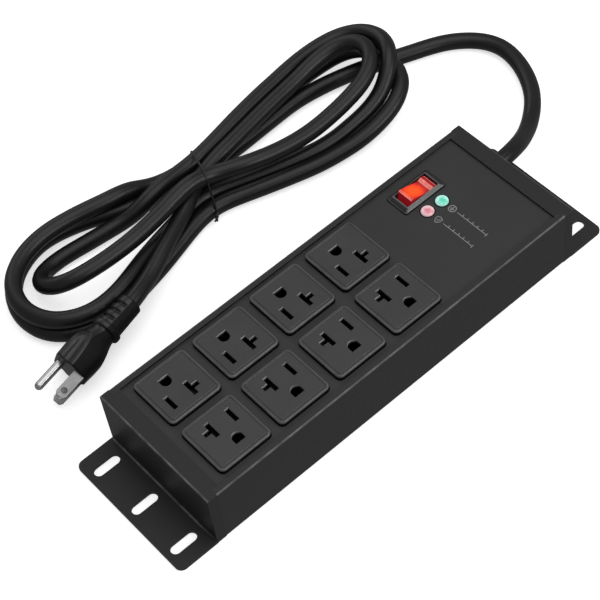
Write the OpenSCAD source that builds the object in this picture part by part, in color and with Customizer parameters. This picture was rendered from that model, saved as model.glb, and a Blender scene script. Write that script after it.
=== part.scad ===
// Metal-bodied power strip: eight grounded sockets, a lit rocker switch, two indicator lenses,
// slotted mounting flanges at both ends and a tied supply cord with its plug.
// Frame: X along the length (cord end at +X), Y across, Z up. Origin at the middle of the underside.

/* [Housing] */
// Length of the folded channel between the two end brackets
channel_l = 237; // [236.5:0.5:238]
// Outside width of the channel
channel_w = 84.6; // [84.2:0.1:85.2]
// Height of the channel to the top of its rims
channel_h = 39.4; // [39.2:0.1:40]
// Thickness of the channel's floor and walls
wall_t = 2; // [2:0.1:2.2]
// Depth of each end bracket beyond the channel
bracket_d = 6; // [5.5:0.5:7]
// Thickness of the bracket sheet
sheet_t = 1.5; // [1.2:0.1:1.6]
// Depth of the bracket's lip over the top panel
top_lip = 10; // [8:0.5:11]

/* [Mounting flanges] */
// How far each flange reaches beyond its end plate
flange_l = 24; // [22:0.5:28]
// Width of each flange
flange_w = 85; // [80:0.5:90]
// Corner radius of the flange
flange_r = 4; // [2:0.5:8]
// Length of each slot, end to end
slot_l = 15.6; // [12:0.1:18]
// Width of each slot
slot_w = 5.8; // [4:0.1:6]
// Distance between neighbouring slots across the flange
slot_pitch = 31; // [28:0.5:32]
// Distance from the end plate to the middle of the slots
slot_out = 12.5; // [11:0.5:14]

/* [Sockets] */
// Distance between neighbouring sockets along the strip
pitch = 38.1; // [37.6:0.1:38.3]
// Side of the square socket face
face_w = 32.5; // [32:0.1:33]
// Corner radius of the socket face
face_r = 3; // [2:0.5:4]
// Height of the socket faces above the underside
face_top = 40.8; // [40.2:0.1:41.2]
// Distance of each row of faces from the centre line
row_y = 19; // [18.8:0.1:19.2]
// First socket face, measured from the middle of the strip
first_x = -93.1; // [-93.5:0.1:-92.8]
// Shift of the slot group towards its narrow slot
group_shift = 2.2; // [1.8:0.1:2.4]

/* [Switch] */
// Middle of the switch along the strip
switch_x = 76.3; // [75:0.1:77]
// Middle of the switch across the strip
switch_y = 25.4; // [25:0.1:26]
// Length of the switch bezel
bezel_l = 28.6; // [28:0.1:30]
// Width of the switch bezel
bezel_w = 14.6; // [14:0.1:15]
// Tilt of the rocker from level at either end of its throw
rocker_tilt = 10; // [8:1:10]

/* [Indicators] */
// Diameter of each indicator lens
lens_d = 7.3; // [6.5:0.1:7.4]

/* [Cord] */
// Outside diameter of the supply cord
cord_d = 9.8; // [9:0.1:10]
// Height of the cord where it leaves the end plate
cord_z = 20; // [19.5:0.5:20.5]
// Position of the cord hole across the end plate
cord_y = 20; // [19:0.5:21]

/* [Hidden] */

$fn = 48;
hl = channel_l / 2;                 // half length of the channel
hw = channel_w / 2;                 // half width of the channel
ex = hl + bracket_d;                // outer face of the end plate
rim_in = hw - 3.5;                  // inner edge of the rims
panel_top = channel_h - 1.4;        // upper face of the recessed panel
panel_bot = panel_top - 1.5;
end_x = ex + flange_l;              // outer edge of the flanges
slot_x = ex + slot_out;             // middle of the slots
cx = first_x + 1.5 * pitch;         // middle of the socket field
carrier_top = 29.5;
bus_z = 19.5;                       // top of the carrier's slab, under the bus bars
blade_y = 13.3;                     // row of the flat slots
earth_y = 25.2;                     // row of the round slots
blade_dx = 6.35;                    // each flat slot from the middle of its group
pivot_z = 34.3;                     // rocker pivot
lever_z = 22.2;                     // contact lever pivot
board_z = 11.1;                     // upper face of the circuit board
lens_g = [81.7, 11.5];
lens_r = [71.6, 11.9];

// route of the cord from the gland to the tied hank
LEAD = [[108, cord_y, cord_z], [122, cord_y, cord_z], [137, cord_y, cord_z], [145, 21.5, 19], [155, 25, 16],
  [167, 31.5, 12], [177.5, 39, 9], [188, 48.5, 7], [197, 61.5, 5.5], [203, 76, 5], [204.5, 93, 5],
  [196, 107, 5], [182, 118, 5], [167, 124, 5], [153, 129, 5]];
// route of the cord from the tied hank to the plug
TAIL = [[-4, 122, 15], [-14, 118.5, 15], [-26, 113, 15], [-38, 107, 15], [-50, 100, 15.5], [-60, 95, 16.5], [-67, 92.7, 16.8], [-73.5, 91.5, 16.5]];
// outline of the tied hank: the wide bottom layer, then the turns above it
HANK_X = [-78, 114];                // middles of its two ends
PLUG = [-118.5, 83.5, 13.3];        // middle of the plug's front face
PLUG_TURN = [-26, 4, 190];          // roll, nose-down tilt and heading of the plug, in degrees
blade_off = 5.7;                    // flat blades, from the middle of the plug
pin_off = -6.2;                     // round pin, 11.9 mm from the blades' line

// ---- shared helpers ----
module rrect(l, w, r) {
  square([l - 2 * r, w], center = true);
  square([l, w - 2 * r], center = true);
  for (sx = [-1, 1], sy = [-1, 1]) translate([sx * (l / 2 - r), sy * (w / 2 - r)]) circle(r = r);
}
module rblock(l, w, r, z0, z1) { translate([0, 0, z0]) linear_extrude(z1 - z0) rrect(l, w, r); }
module box(a, b) { translate(a) cube([b[0] - a[0], b[1] - a[1], b[2] - a[2]]); }
module slot2d(l, w) { square([l - w, w], center = true); for (s = [-1, 1]) translate([s * (l - w) / 2, 0]) circle(d = w); }

// countersunk screw standing up from the underside
module csk(r, len) {
  translate([0, 0, 0.1]) cylinder(r1 = 3.3, r2 = r, h = 1.5);
  translate([0, 0, 1.55]) cylinder(r = r, h = len - 1.55);
}
module csk_hole(r) {
  translate([0, 0, -0.1]) cylinder(r1 = 3.55, r2 = r, h = 1.75);
  translate([0, 0, 1.6]) cylinder(r = r, h = 1);
}

// tube of radius r swept along a list of points
function unit(v) = v / norm(v);
function dir(p, i) = unit(i == 0 ? p[1] - p[0] : i == len(p) - 1 ? p[i] - p[i - 1] : unit(p[i + 1] - p[i]) + unit(p[i] - p[i - 1]));
function side(d, u) = unit(cross(d, cross(u, d)));
function frames(p, i = 0, u = [0, 0, 1]) = i >= len(p) ? [] :
  let (d = dir(p, i), s = norm(cross(u, d)) < 0.05 ? side(d, [0.3, 1, 0]) : side(d, u)) concat([[s, cross(d, s)]], frames(p, i + 1, s));
module sweep(p, r, n = 12) {
  f = frames(p);
  pts = [for (i = [0:len(p) - 1], k = [0:n - 1]) p[i] + r * (cos(360 * k / n) * f[i][0] + sin(360 * k / n) * f[i][1])];
  faces = concat([[for (k = [0:n - 1]) k]], [[for (k = [n - 1:-1:0]) (len(p) - 1) * n + k]],
    [for (i = [0:len(p) - 2], k = [0:n - 1]) [i * n + k, (i + 1) * n + k, (i + 1) * n + (k + 1) % n]],
    [for (i = [0:len(p) - 2], k = [0:n - 1]) [i * n + k, (i + 1) * n + (k + 1) % n, i * n + (k + 1) % n]]);
  polyhedron(points = pts, faces = faces, convexity = 6);
}

// ---- housing ----
module bracket_screw_at() { for (sx = [-1, 1], sy = [-1, 1]) translate([sx * (hl - 8.5), sy * 26, 0]) children(); }
module carrier_screw_at() { for (dx = [-66, 0, 66], sy = [-1, 1]) translate([cx + dx, sy * 25.2 - sy * 6, 0]) children(); }

module housing_channel() color("#343434") difference() {
  union() {
    box([-hl, -hw, 0], [hl, hw, wall_t]);
    for (s = [-1, 1]) {
      box([-hl, min(s * hw, s * (hw - wall_t)), 0], [hl, max(s * hw, s * (hw - wall_t)), channel_h]);
      box([-hl, min(s * hw, s * rim_in), panel_bot - 1.3], [hl, max(s * hw, s * rim_in), channel_h]);
    }
  }
  for (s = [-1, 1])
    box([-hl - 1, min(s * (rim_in - 1), s * (hw - 1.4)), panel_bot - 0.05], [hl + 1, max(s * (rim_in - 1), s * (hw - 1.4)), panel_top + 0.05]);
  bracket_screw_at() csk_hole(2);
  carrier_screw_at() csk_hole(1.9);
}

module face_at(i) {
  c = i % 4;
  if (i < 4) translate([first_x + c * pitch, row_y, 0]) children();
  else translate([first_x + c * pitch, -row_y, 0]) rotate([0, 0, 180]) children();
}

module top_panel() color("#3e3e3e") difference() {
  box([-hl + 0.1, -(hw - 1.5), panel_bot], [hl - 0.1, hw - 1.5, panel_top]);
  for (i = [0:7]) face_at(i) rblock(face_w + 0.5, face_w + 0.5, face_r, panel_bot - 1, panel_top + 1);
  translate([switch_x, switch_y, 0]) box([-12.95, -6.3, panel_bot - 1], [12.95, 6.3, panel_top + 1]);
  for (p = [lens_g, lens_r]) translate([p[0], p[1], panel_bot - 1]) cylinder(d = lens_d + 0.2, h = 4);
}

// end bracket drawn for the +X end
module bracket() difference() {
  union() {
    box([ex - sheet_t, -hw, 0], [ex, hw, channel_h]);
    for (s = [-1, 1]) box([hl + 0.1, min(s * hw, s * (hw - sheet_t)), 0], [ex - 0.5, max(s * hw, s * (hw - sheet_t)), channel_h]);
    box([hl + 0.1, -hw, panel_top + 0.1], [ex - 0.5, hw, channel_h]);
    box([hl + 0.1, -hw, 0], [ex - 0.5, hw, sheet_t]);
    box([ex - top_lip, -rim_in + 0.1, panel_top + 0.1], [hl + 0.2, rim_in - 0.1, channel_h]);
    // flange with rounded outer corners
    box([ex - 0.5, -flange_w / 2, 0], [end_x - flange_r, flange_w / 2, sheet_t]);
    box([ex - 0.5, -flange_w / 2 + flange_r, 0], [end_x, flange_w / 2 - flange_r, sheet_t]);
    for (s = [-1, 1]) translate([end_x - flange_r, s * (flange_w / 2 - flange_r), 0]) cylinder(r = flange_r, h = sheet_t);
    // inner feet with threaded bosses
    for (s = [-1, 1]) {
      box([hl - 12, s * 26 - 7, wall_t + 0.05], [ex - 0.5, s * 26 + 7, wall_t + 0.05 + sheet_t]);
      translate([hl - 8.5, s * 26, wall_t + 0.05]) cylinder(r = 3.4, h = 4.5);
    }
  }
  for (s = [-1, 0, 1]) translate([slot_x, s * slot_pitch, -1]) linear_extrude(sheet_t + 2) slot2d(slot_l, slot_w);
  for (s = [-1, 1]) translate([hl - 8.5, s * 26, 0]) cylinder(r = 1.85, h = 12);
}
module end_bracket_far() color("#262626") difference() {
  bracket();
  translate([ex - 3, cord_y, cord_z]) rotate([0, 90, 0]) cylinder(r = 8.1, h = 6);
}
module end_bracket_near() color("#262626") mirror([1, 0, 0]) bracket();
module bracket_screws() color("#6a6c70") bracket_screw_at() csk(1.75, 6.4);
module carrier_screws() color("#6a6c70") carrier_screw_at() csk(1.6, 12);

// ---- sockets ----
module face() difference() {
  union() {
    rblock(face_w, face_w, face_r, carrier_top, face_top);
    rblock(35.4, 35.4, 2, panel_bot - 1.3, panel_bot - 0.05);
  }
  rblock(face_w - 3.2, face_w - 3.2, face_r - 1.4, carrier_top - 1, face_top - 2.6);
  // thin groove inside the raised border
  translate([0, 0, face_top - 0.35]) difference() {
    linear_extrude(1) rrect(face_w - 3, face_w - 3, face_r - 1);
    translate([0, 0, -1]) linear_extrude(3) rrect(face_w - 4.2, face_w - 4.2, face_r - 1.4);
  }
  translate([-group_shift, 0, 0]) {
    // narrow slot
    box([-blade_dx - 1.25, blade_y - row_y - 4.3, face_top - 4], [-blade_dx + 1.25, blade_y - row_y + 4.3, face_top + 1]);
    // T slot
    box([blade_dx - 1.3, blade_y - row_y - 4.7, face_top - 4], [blade_dx + 1.3, blade_y - row_y + 4.7, face_top + 1]);
    box([blade_dx, blade_y - row_y - 1.3, face_top - 4], [blade_dx + 4.9, blade_y - row_y + 1.3, face_top + 1]);
    // round slot with its flat outward
    translate([0, earth_y - row_y, face_top - 4]) {
      cylinder(r = 3.05, h = 5);
      translate([-3.05, 0, 0]) cube([6.1, 2.6, 5]);
    }
  }
}
module outlet(i) color("#464646") face_at(i) face();
module outlet_face_1() outlet(0);
module outlet_face_2() outlet(1);
module outlet_face_3() outlet(2);
module outlet_face_4() outlet(3);
module outlet_face_5() outlet(4);
module outlet_face_6() outlet(5);
module outlet_face_7() outlet(6);
module outlet_face_8() outlet(7);

module other_row() { translate([2 * cx, 0, 0]) rotate([0, 0, 180]) children(); }
row_hl = 76.5;                      // half length of a carrier
module carrier() difference() {
  union() {
    box([cx - row_hl, 3, bus_z - 2], [cx + row_hl, 35.5, bus_z]);
    for (y = [3, 34]) box([cx - row_hl, y, bus_z - 0.5], [cx + row_hl, y + 1.5, carrier_top]);
    for (s = [-1, 1]) translate([cx + s * (row_hl - 0.75), 0, 0]) box([-0.75, 3, bus_z - 0.5], [0.75, 35.5, carrier_top]);
    for (dx = [-66, 0, 66]) translate([cx + dx, 19.2, wall_t + 0.05]) cylinder(r = 4.2, h = bus_z - wall_t - 1.05);
  }
  for (dx = [-66, 0, 66]) translate([cx + dx, 19.2, 0]) cylinder(r = 1.7, h = 13);
  for (y = [6.9, 19.7, 30.9]) box([cx + row_hl - 3, y - 2.2, bus_z + 0.01], [cx + row_hl + 1, y + 2.2, bus_z + 2.5]);
  for (y = [6.9, 19.7, 30.9]) box([cx - row_hl - 1, y - 2.2, bus_z + 0.01], [cx - row_hl + 3, y + 2.2, bus_z + 2.5]);
}
module outlet_carrier_left() color("#2c2c2e") carrier();
module outlet_carrier_right() color("#2c2c2e") other_row() carrier();

// bus bar strip with a pair of spring leaves under each flat slot
module blade_bus(y0, off, tab_a, tab_b) {
  box([cx - row_hl - 3, y0, bus_z + 0.02], [cx + row_hl + 3, y0 + 3.4, bus_z + 0.82]);
  for (i = [0:3]) translate([first_x + i * pitch - group_shift + off, 0, 0]) {
    box([-2.4, tab_a, bus_z + 0.02], [2.4, tab_b, bus_z + 0.82]);
    for (s = [-1, 1]) box([min(s * 1, s * 1.6), blade_y - 3.7, bus_z + 0.5], [max(s * 1, s * 1.6), blade_y + 3.7, 34]);
    for (s = [-1, 1]) box([min(s * 1, s * 2.4), blade_y - 3.7, 33.2], [max(s * 1, s * 2.4), blade_y + 3.7, 34]);
  }
}
module line_bus() blade_bus(5.2, -blade_dx, 5.5, 17);
module neutral_bus() blade_bus(18, blade_dx, 9.6, 18.5);
module ground_bus() {
  box([cx - row_hl - 3, 29.2, bus_z + 0.02], [cx + row_hl + 3, 32.6, bus_z + 0.82]);
  for (i = [0:3]) translate([first_x + i * pitch - group_shift, 0, 0]) {
    box([-2.4, earth_y - 3.4, bus_z + 0.02], [2.4, 29.5, bus_z + 0.82]);
    translate([0, earth_y, bus_z + 0.5]) difference() {
      cylinder(r = 3.4, h = 9.7);
      translate([0, 0, 0.4]) cylinder(r = 2.6, h = 12);
      box([-0.4, 0, 2], [0.4, 5, 12]);
    }
  }
}
module line_bus_left() color("#c9a24a") line_bus();
module line_bus_right() color("#c9a24a") other_row() line_bus();
module neutral_bus_left() color("#c9a24a") neutral_bus();
module neutral_bus_right() color("#c9a24a") other_row() neutral_bus();
module ground_bus_left() color("#c9a24a") ground_bus();
module ground_bus_right() color("#c9a24a") other_row() ground_bus();

// ---- switch ----
module at_switch(z = 0) { translate([switch_x, switch_y, z]) children(); }
module switch_body() color("#1d1d1f") at_switch() difference() {
  union() {
    rblock(bezel_l, bezel_w, 1.2, panel_top, panel_top + 2.3);
    box([-12.8, -6.1, 18], [12.8, 6.1, panel_top + 0.5]);
  }
  box([-11, -5.3, 19.8], [11, 5.3, panel_top + 3]);
  translate([0, -7, pivot_z]) rotate([-90, 0, 0]) cylinder(r = 1.25, h = 14);
  for (x = [-7, 0, 7]) box([x - 0.45, -3.2, 17], [x + 0.45, 3.2, 20.5]);
  for (y = [-3, 3]) translate([6, y, 17]) cylinder(r = 0.35, h = 4);
}
// rocker in its own frame: pivot at the origin, level
module rocker_level() difference() {
  union() {
    translate([0, 4.9, 0]) rotate([90, 0, 0]) linear_extrude(9.8)
      polygon([[-9.5, -1.2], [9.5, -1.2], [9.5, 6.6], [8.6, 7], [0, 5.2], [-8.6, 7], [-9.5, 6.6]]);
    translate([0, 0, -6.4]) cylinder(r = 2.6, h = 9);
    translate([0, 5.9, 0]) rotate([90, 0, 0]) cylinder(r = 1.2, h = 11.8);
  }
  difference() {
    translate([0, 3.8, 0]) rotate([90, 0, 0]) linear_extrude(7.6)
      polygon([[-8.3, -2], [8.3, -2], [8.3, 5], [0, 3.6], [-8.3, 5]]);
    translate([0, 0, -7]) cylinder(r = 2.6, h = 14);
  }
  translate([0, 0, -7]) cylinder(r = 1.7, h = 9.2);
}
module tilted() { at_switch(pivot_z) rotate([0, rocker_tilt, 0]) children(); }
module switch_rocker() color("#d8261a") tilted() rocker_level();
module switch_plunger() color("#e8e4da") tilted() {
  translate([0, 0, -9.4]) cylinder(r = 1.6, h = 5.6);
  translate([0, 0, -9.4]) sphere(r = 1.6);
}
module switch_spring() color("#b8bcc2") tilted()
  sweep([for (i = [0:60]) [1.2 * cos(i * 30), 1.2 * sin(i * 30), -3.45 + i * 5.3 / 60]], 0.22, 8);
module switch_contact_lever() color("#b8793a") at_switch(lever_z) rotate([0, -8, 0]) {
  difference() {
    box([-8, -2.2, 0.15], [8, 2.2, 0.9]);
    translate([0, -3, 0]) rotate([-90, 0, 0]) cylinder(r = 0.35, h = 6);
  }
  for (s = [-1, 1]) translate([s * 7, 0, -0.7]) cylinder(r = 1.2, h = 1);
}
module switch_terminals() color("#b8bcc2") at_switch() {
  for (s = [-1, 1]) {
    box([s * 7 - 0.4, -3.1, 12.2], [s * 7 + 0.4, 3.1, 19.9]);
    translate([s * 7, 0, 19.82]) cylinder(r = 1.3, h = 0.5);
  }
  box([-0.4, -3.1, 12.2], [0.4, 3.1, 21.2]);
  translate([0, 2.1, 21.2]) rotate([90, 0, 0]) linear_extrude(4.2) polygon([[-0.4, -0.1], [0.4, -0.1], [0.05, 0.9], [-0.05, 0.9]]);
}
module switch_lamp() color("#ff8a3c") at_switch() {
  translate([6, 2.7, 30.6]) rotate([90, 0, 0]) cylinder(r = 1.3, h = 5.4);
  for (s = [-1, 1]) {
    translate([6, s * 3, 18.2]) cylinder(r = 0.25, h = 12.4);
    translate([6, s * 3, 30.6]) rotate([90 * s, 0, 0]) cylinder(r = 0.25, h = 0.6);
  }
}

// ---- indicators ----
module lens(p) translate([p[0], p[1], 0]) difference() {
  union() {
    translate([0, 0, panel_bot - 1.2]) cylinder(r = 4.5, h = 1.15);
    translate([0, 0, panel_bot - 1.2]) cylinder(d = lens_d, h = 3.4);
    intersection() {
      translate([0, 0, panel_top + 2 - 4.6]) sphere(r = 4.6);
      translate([0, 0, panel_top - 1]) cylinder(d = lens_d, h = 5);
    }
  }
  translate([0, 0, panel_bot - 2]) cylinder(r = 2.7, h = 3);
}
module led_lens_green() color("#7df5dc") lens(lens_g);
module led_lens_red() color("#f5a8b8") lens(lens_r);
module led_emitters() color("#dfe6e4") for (p = [lens_g, lens_r]) translate([p[0], p[1], 0]) {
  translate([0, 0, 30.5]) cylinder(r = 2.45, h = 4.4);
  translate([0, 0, 30.5]) cylinder(r = 2.8, h = 0.9);
  for (s = [-1, 1]) translate([s * 1.27, 0, board_z]) cylinder(r = 0.3, h = 20);
}

// ---- surge board ----
module standoff_at() { for (x = [56, 100], y = [-32, 32]) translate([x, y, 0]) children(); }
module surge_board() color("#2f6b3c") difference() {
  box([50, -36, board_z - 1.6], [106, 36, board_z]);
  standoff_at() translate([0, 0, 5]) cylinder(r = 1.6, h = 10);
}
module board_standoffs() color("#b8bcc2") standoff_at() difference() {
  translate([0, 0, wall_t]) cylinder(r = 3, h = board_z - 1.6 - wall_t, $fn = 6);
  translate([0, 0, 3]) cylinder(r = 1.55, h = 10);
}
module board_screws() color("#9a9ea4") standoff_at() {
  translate([0, 0, 4]) cylinder(r = 1.5, h = 8);
  difference() {
    translate([0, 0, board_z]) cylinder(r = 2.8, h = 1.8);
    for (a = [0, 90]) rotate([0, 0, a]) box([-1.8, -0.3, board_z + 0.9], [1.8, 0.3, board_z + 3]);
  }
}
module varistors() color("#2a4f9a") for (x = [58, 68, 78]) translate([x, -18, 0]) {
  translate([-2.4, 0, 22.6]) rotate([0, 90, 0]) cylinder(r = 9.5, h = 4.8);
  for (s = [-1, 1]) translate([0, s * 3.7, board_z]) cylinder(r = 0.5, h = 6);
}
module thermal_fuse() color("#c8ccd0") translate([88, 0, 0]) {
  translate([0, -23, 15]) rotate([-90, 0, 0]) cylinder(r = 2.1, h = 11);
  for (y = [-26, -9]) translate([0, y, board_z]) cylinder(r = 0.45, h = 4.35);
  translate([0, -26.45, 15]) rotate([-90, 0, 0]) cylinder(r = 0.45, h = 17.9);
}
module filter_capacitor() color("#d9b23c") translate([98, -18, 0]) {
  rblock(8, 18, 0.8, board_z + 0.4, board_z + 14);
  for (s = [-1, 1]) translate([0, s * 7.5, board_z]) cylinder(r = 0.4, h = 1);
}

// ---- wiring ----
module ground_screw() color("#4f8a4a") translate([45.4, 0, wall_t]) {
  cylinder(r = 1.9, h = 7);
  translate([0, 0, 3.2]) cylinder(r = 3.6, h = 2.4, $fn = 6);
  cylinder(r = 4.2, h = 1);
}
module line_wires() color("#1a1a1a") {
  sweep([[107.98, cord_y + 2.6, cord_z + 0.8], [105, cord_y + 2.6, cord_z + 0.8], [101, 24, 21], [95, 25, 18], [90, 25.4, 15], [86, 25.4, 14.4], [83.75, 25.4, 14.4]], 1.3, 8);
  sweep([[76.8, 27, 14.6], [78.5, 29, 15], [80, 32, 15], [80, 34, 13.4], [80, 34, board_z + 0.02]], 1.3, 8);
  for (s = [-1, 1])
    sweep([[54, s * 12, board_z + 0.02], [54, s * 12, 14], [53, s * 11, 18], [50, s * 9, 21], [46, s * 7.4, 22], [42.4, s * 6.9, 21.65]], 1.3, 8);
}
module neutral_wires() color("#e6e2d6") {
  sweep([[107.98, cord_y, cord_z - 3.4], [105.5, cord_y, cord_z - 3.4], [103, 15, 16], [102, 8, 14.6], [102, 6, 13.2], [102, 6, board_z + 0.02]], 1.3, 8);
  sweep([[68.8, 27, 14.6], [67, 29, 15], [65, 32, 15], [65, 34, 13.4], [65, 34, board_z + 0.02]], 1.3, 8);
  for (s = [-1, 1])
    sweep([[54, s * 23, board_z + 0.02], [54, s * 23, 14], [53, s * 22.4, 18], [50, s * 21, 21], [46, s * 20, 22], [42.4, s * 19.7, 21.65]], 1.3, 8);
}
module ground_wires() color("#3c8a4c") {
  sweep([[107.98, cord_y - 2.6, cord_z + 0.8], [105, cord_y - 2.6, cord_z + 0.8], [100, 13, 23], [92, 2, 28], [82, -2, 30], [62, -2, 30], [52, -1, 24], [46, 0, 15], [45.4, 0, 11.5], [45.4, 0, 9.02]], 1.3, 8);
  for (s = [-1, 1])
    sweep([[45.4, s * 4.4, 4.4], [45.4, s * 9, 4.4], [45.4, s * 27, 5], [46.6, s * 30.6, 11], [46.4, s * 30.9, 18], [45, s * 30.9, 21.65], [42.4, s * 30.9, 21.65]], 1.3, 8);
}

// ---- cord ----
module strain_relief() color("#1b1b1c") translate([0, cord_y, cord_z]) rotate([0, 90, 0]) difference() {
  union() {
    translate([0, 0, ex - 14]) cylinder(r = 7.9, h = 17);
    translate([0, 0, ex - sheet_t - 2.5]) cylinder(r = 10.5, h = 2.45);
    translate([0, 0, ex + 0.05]) cylinder(r = 9.6, h = 1.8);
    translate([0, 0, ex + 1.8]) cylinder(r1 = 8.2, r2 = 6.9, h = 5.2);
  }
  translate([0, 0, ex - 20]) cylinder(r = 5.05, h = 40);
  for (z = [3.4, 5.1]) translate([0, 0, ex + z]) difference() { cylinder(r = 12, h = 0.7); cylinder(r = 6.3, h = 0.7); }
}
module cord_lead() color("#2a2a2b") sweep(LEAD, cord_d / 2, 12);
module cord_tail() color("#2a2a2b") sweep(TAIL, cord_d / 2, 12);

module hank_base() {
  translate([-78, 136]) circle(r = 38);
  translate([116, 128]) circle(r = 36);
  polygon([[-78, 98], [-50, 103], [-20, 109], [8, 113], [40, 105], [70, 97], [116, 92], [116, 164], [70, 160], [30, 156], [8, 155], [-20, 163], [-50, 171], [-78, 174]]);
}
module hank_top() {
  translate([-78, 138]) circle(r = 35.5);
  translate([118, 132]) circle(r = 35);
  polygon([[-78, 102.5], [-50, 108], [-20, 116], [0, 121], [8, 114], [40, 105], [76, 100], [118, 97], [118, 167], [70, 163], [30, 158], [8, 156], [-20, 162], [-50, 170], [-78, 173.5]]);
}
module cord_hank() color("#2a2a2b") difference() {
  union() {
    linear_extrude(9.8) hank_base();
    translate([0, 0, 9]) linear_extrude(20) hank_top();
  }
  // recess for the tie at the waist
  difference() {
    box([5, 100, -1], [11, 170, 40]);
    box([4, 115.5, 1.2], [12, 153.5, 27.8]);
  }
}
module cord_tie() color("#222224") difference() {
  box([6.5, 114, 0.05], [9.5, 155, 29.2]);
  box([0, 115.5, 1.2], [20, 153.5, 27.8]);
}

// ---- plug ----
module at_plug() { translate(PLUG) rotate(PLUG_TURN) children(); }
// plug frame: +X out of the front, blades above and below, round pin towards -Y
module plug_body() color("#252526") at_plug() difference() {
  union() {
    hull() {
      rotate([90, 0, -90]) linear_extrude(2) rrect(20.6, 22.2, 6, $fn = 32);
      translate([-14, 0, 0]) rotate([90, 0, -90]) linear_extrude(4) rrect(21.6, 23, 7, $fn = 32);
      translate([-27.5, 0, 0]) rotate([90, 0, -90]) linear_extrude(1) rrect(14, 15, 6.5, $fn = 32);
    }
    translate([-31.5, 0, 0]) rotate([0, 90, 0]) cylinder(r = 8.6, h = 4);
    translate([-50, 0, 0]) rotate([0, 90, 0]) cylinder(r1 = 6.7, r2 = 7.4, h = 19);
  }
  for (x = [-36.5, -41, -45.5]) translate([x, 0, 0]) rotate([0, 90, 0]) difference() { cylinder(r = 12, h = 1.4); cylinder(r = 6, h = 1.4); }
  translate([-51, 0, 0]) rotate([0, 90, 0]) cylinder(r = cord_d / 2 + 0.05, h = 6);
  for (z = [-6.35, 6.35]) box([-10.05, blade_off - 3.22, z - 0.8], [1, blade_off + 3.22, z + 0.8]);
  translate([-10.05, pin_off, 0]) rotate([0, 90, 0]) cylinder(r = 2.42, h = 12);
}
module blade(z) at_plug() difference() {
  union() {
    box([-10, blade_off - 3.175, z - 0.76], [14.2, blade_off + 3.175, z + 0.76]);
    translate([0, 0, z - 0.76]) linear_extrude(1.52)
      polygon([[14.1, blade_off - 3.175], [15.9, blade_off - 2], [15.9, blade_off + 2], [14.1, blade_off + 3.175]]);
  }
  translate([11.7, blade_off, z - 2]) cylinder(r = 1.6, h = 4);
}
module plug_blade_line() color("#c8c6c0") blade(6.35);
module plug_blade_neutral() color("#c8c6c0") blade(-6.35);
module plug_ground_pin() color("#c8c6c0") at_plug() translate([0, pin_off, 0]) rotate([0, 90, 0]) {
  translate([0, 0, -10]) cylinder(r = 2.38, h = 26.7);
  translate([0, 0, 16.7]) intersection() {
    sphere(r = 2.38);
    cylinder(r = 3, h = 3);
  }
}

housing_channel();
top_panel();
end_bracket_near();
end_bracket_far();
bracket_screws();
outlet_face_1();
outlet_face_2();
outlet_face_3();
outlet_face_4();
outlet_face_5();
outlet_face_6();
outlet_face_7();
outlet_face_8();
outlet_carrier_left();
outlet_carrier_right();
line_bus_left();
line_bus_right();
neutral_bus_left();
neutral_bus_right();
ground_bus_left();
ground_bus_right();
carrier_screws();
switch_body();
switch_rocker();
switch_contact_lever();
switch_plunger();
switch_spring();
switch_terminals();
switch_lamp();
led_lens_green();
led_lens_red();
led_emitters();
surge_board();
varistors();
thermal_fuse();
filter_capacitor();
board_standoffs();
board_screws();
ground_screw();
line_wires();
neutral_wires();
ground_wires();
strain_relief();
cord_lead();
cord_hank();
cord_tie();
cord_tail();
plug_body();
plug_blade_line();
plug_blade_neutral();
plug_ground_pin();
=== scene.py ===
import math
import bpy
import bmesh
from mathutils import Vector, Matrix, Euler
from mathutils.geometry import tessellate_polygon

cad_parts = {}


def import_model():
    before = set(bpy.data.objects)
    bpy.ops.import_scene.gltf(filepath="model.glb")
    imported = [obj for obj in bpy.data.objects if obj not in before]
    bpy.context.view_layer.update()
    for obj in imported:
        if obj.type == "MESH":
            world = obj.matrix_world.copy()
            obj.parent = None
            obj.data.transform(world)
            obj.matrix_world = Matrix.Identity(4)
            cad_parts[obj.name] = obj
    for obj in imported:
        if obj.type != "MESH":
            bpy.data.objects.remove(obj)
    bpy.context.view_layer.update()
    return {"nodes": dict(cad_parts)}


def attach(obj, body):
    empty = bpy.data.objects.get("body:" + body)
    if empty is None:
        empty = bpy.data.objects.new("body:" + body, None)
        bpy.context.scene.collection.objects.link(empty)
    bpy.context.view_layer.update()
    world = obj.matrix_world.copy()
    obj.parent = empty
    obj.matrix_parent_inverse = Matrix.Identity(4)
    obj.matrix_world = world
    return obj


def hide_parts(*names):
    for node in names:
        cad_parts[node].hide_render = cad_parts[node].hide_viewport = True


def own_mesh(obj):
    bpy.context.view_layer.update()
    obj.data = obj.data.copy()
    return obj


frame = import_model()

NODE = frame["nodes"]
scene = bpy.context.scene
root = scene.collection


# ------------------------------------------------------------------ camera
def make_camera():
    cam = bpy.data.cameras.new("camera")
    ob = bpy.data.objects.new("camera", cam)
    root.objects.link(ob)
    cam.sensor_width = 36
    cam.lens = 110.616
    cam.clip_start, cam.clip_end = 0.05, 60
    a, e, r = math.radians(-34.278), math.radians(53.389), math.radians(-8.889)
    back = Vector((math.sin(a) * math.cos(e), -math.cos(a) * math.cos(e), math.sin(e)))
    right = Vector((math.cos(a), math.sin(a), 0))
    up = back.cross(right)
    rr = math.cos(r) * right + math.sin(r) * up
    uu = -math.sin(r) * right + math.cos(r) * up
    m = Matrix((rr, uu, back)).transposed().to_4x4()
    m.translation = Vector((-0.3300, -0.4472, 0.7934))
    ob.matrix_world = m
    scene.camera = ob
    return ob


make_camera()


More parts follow.
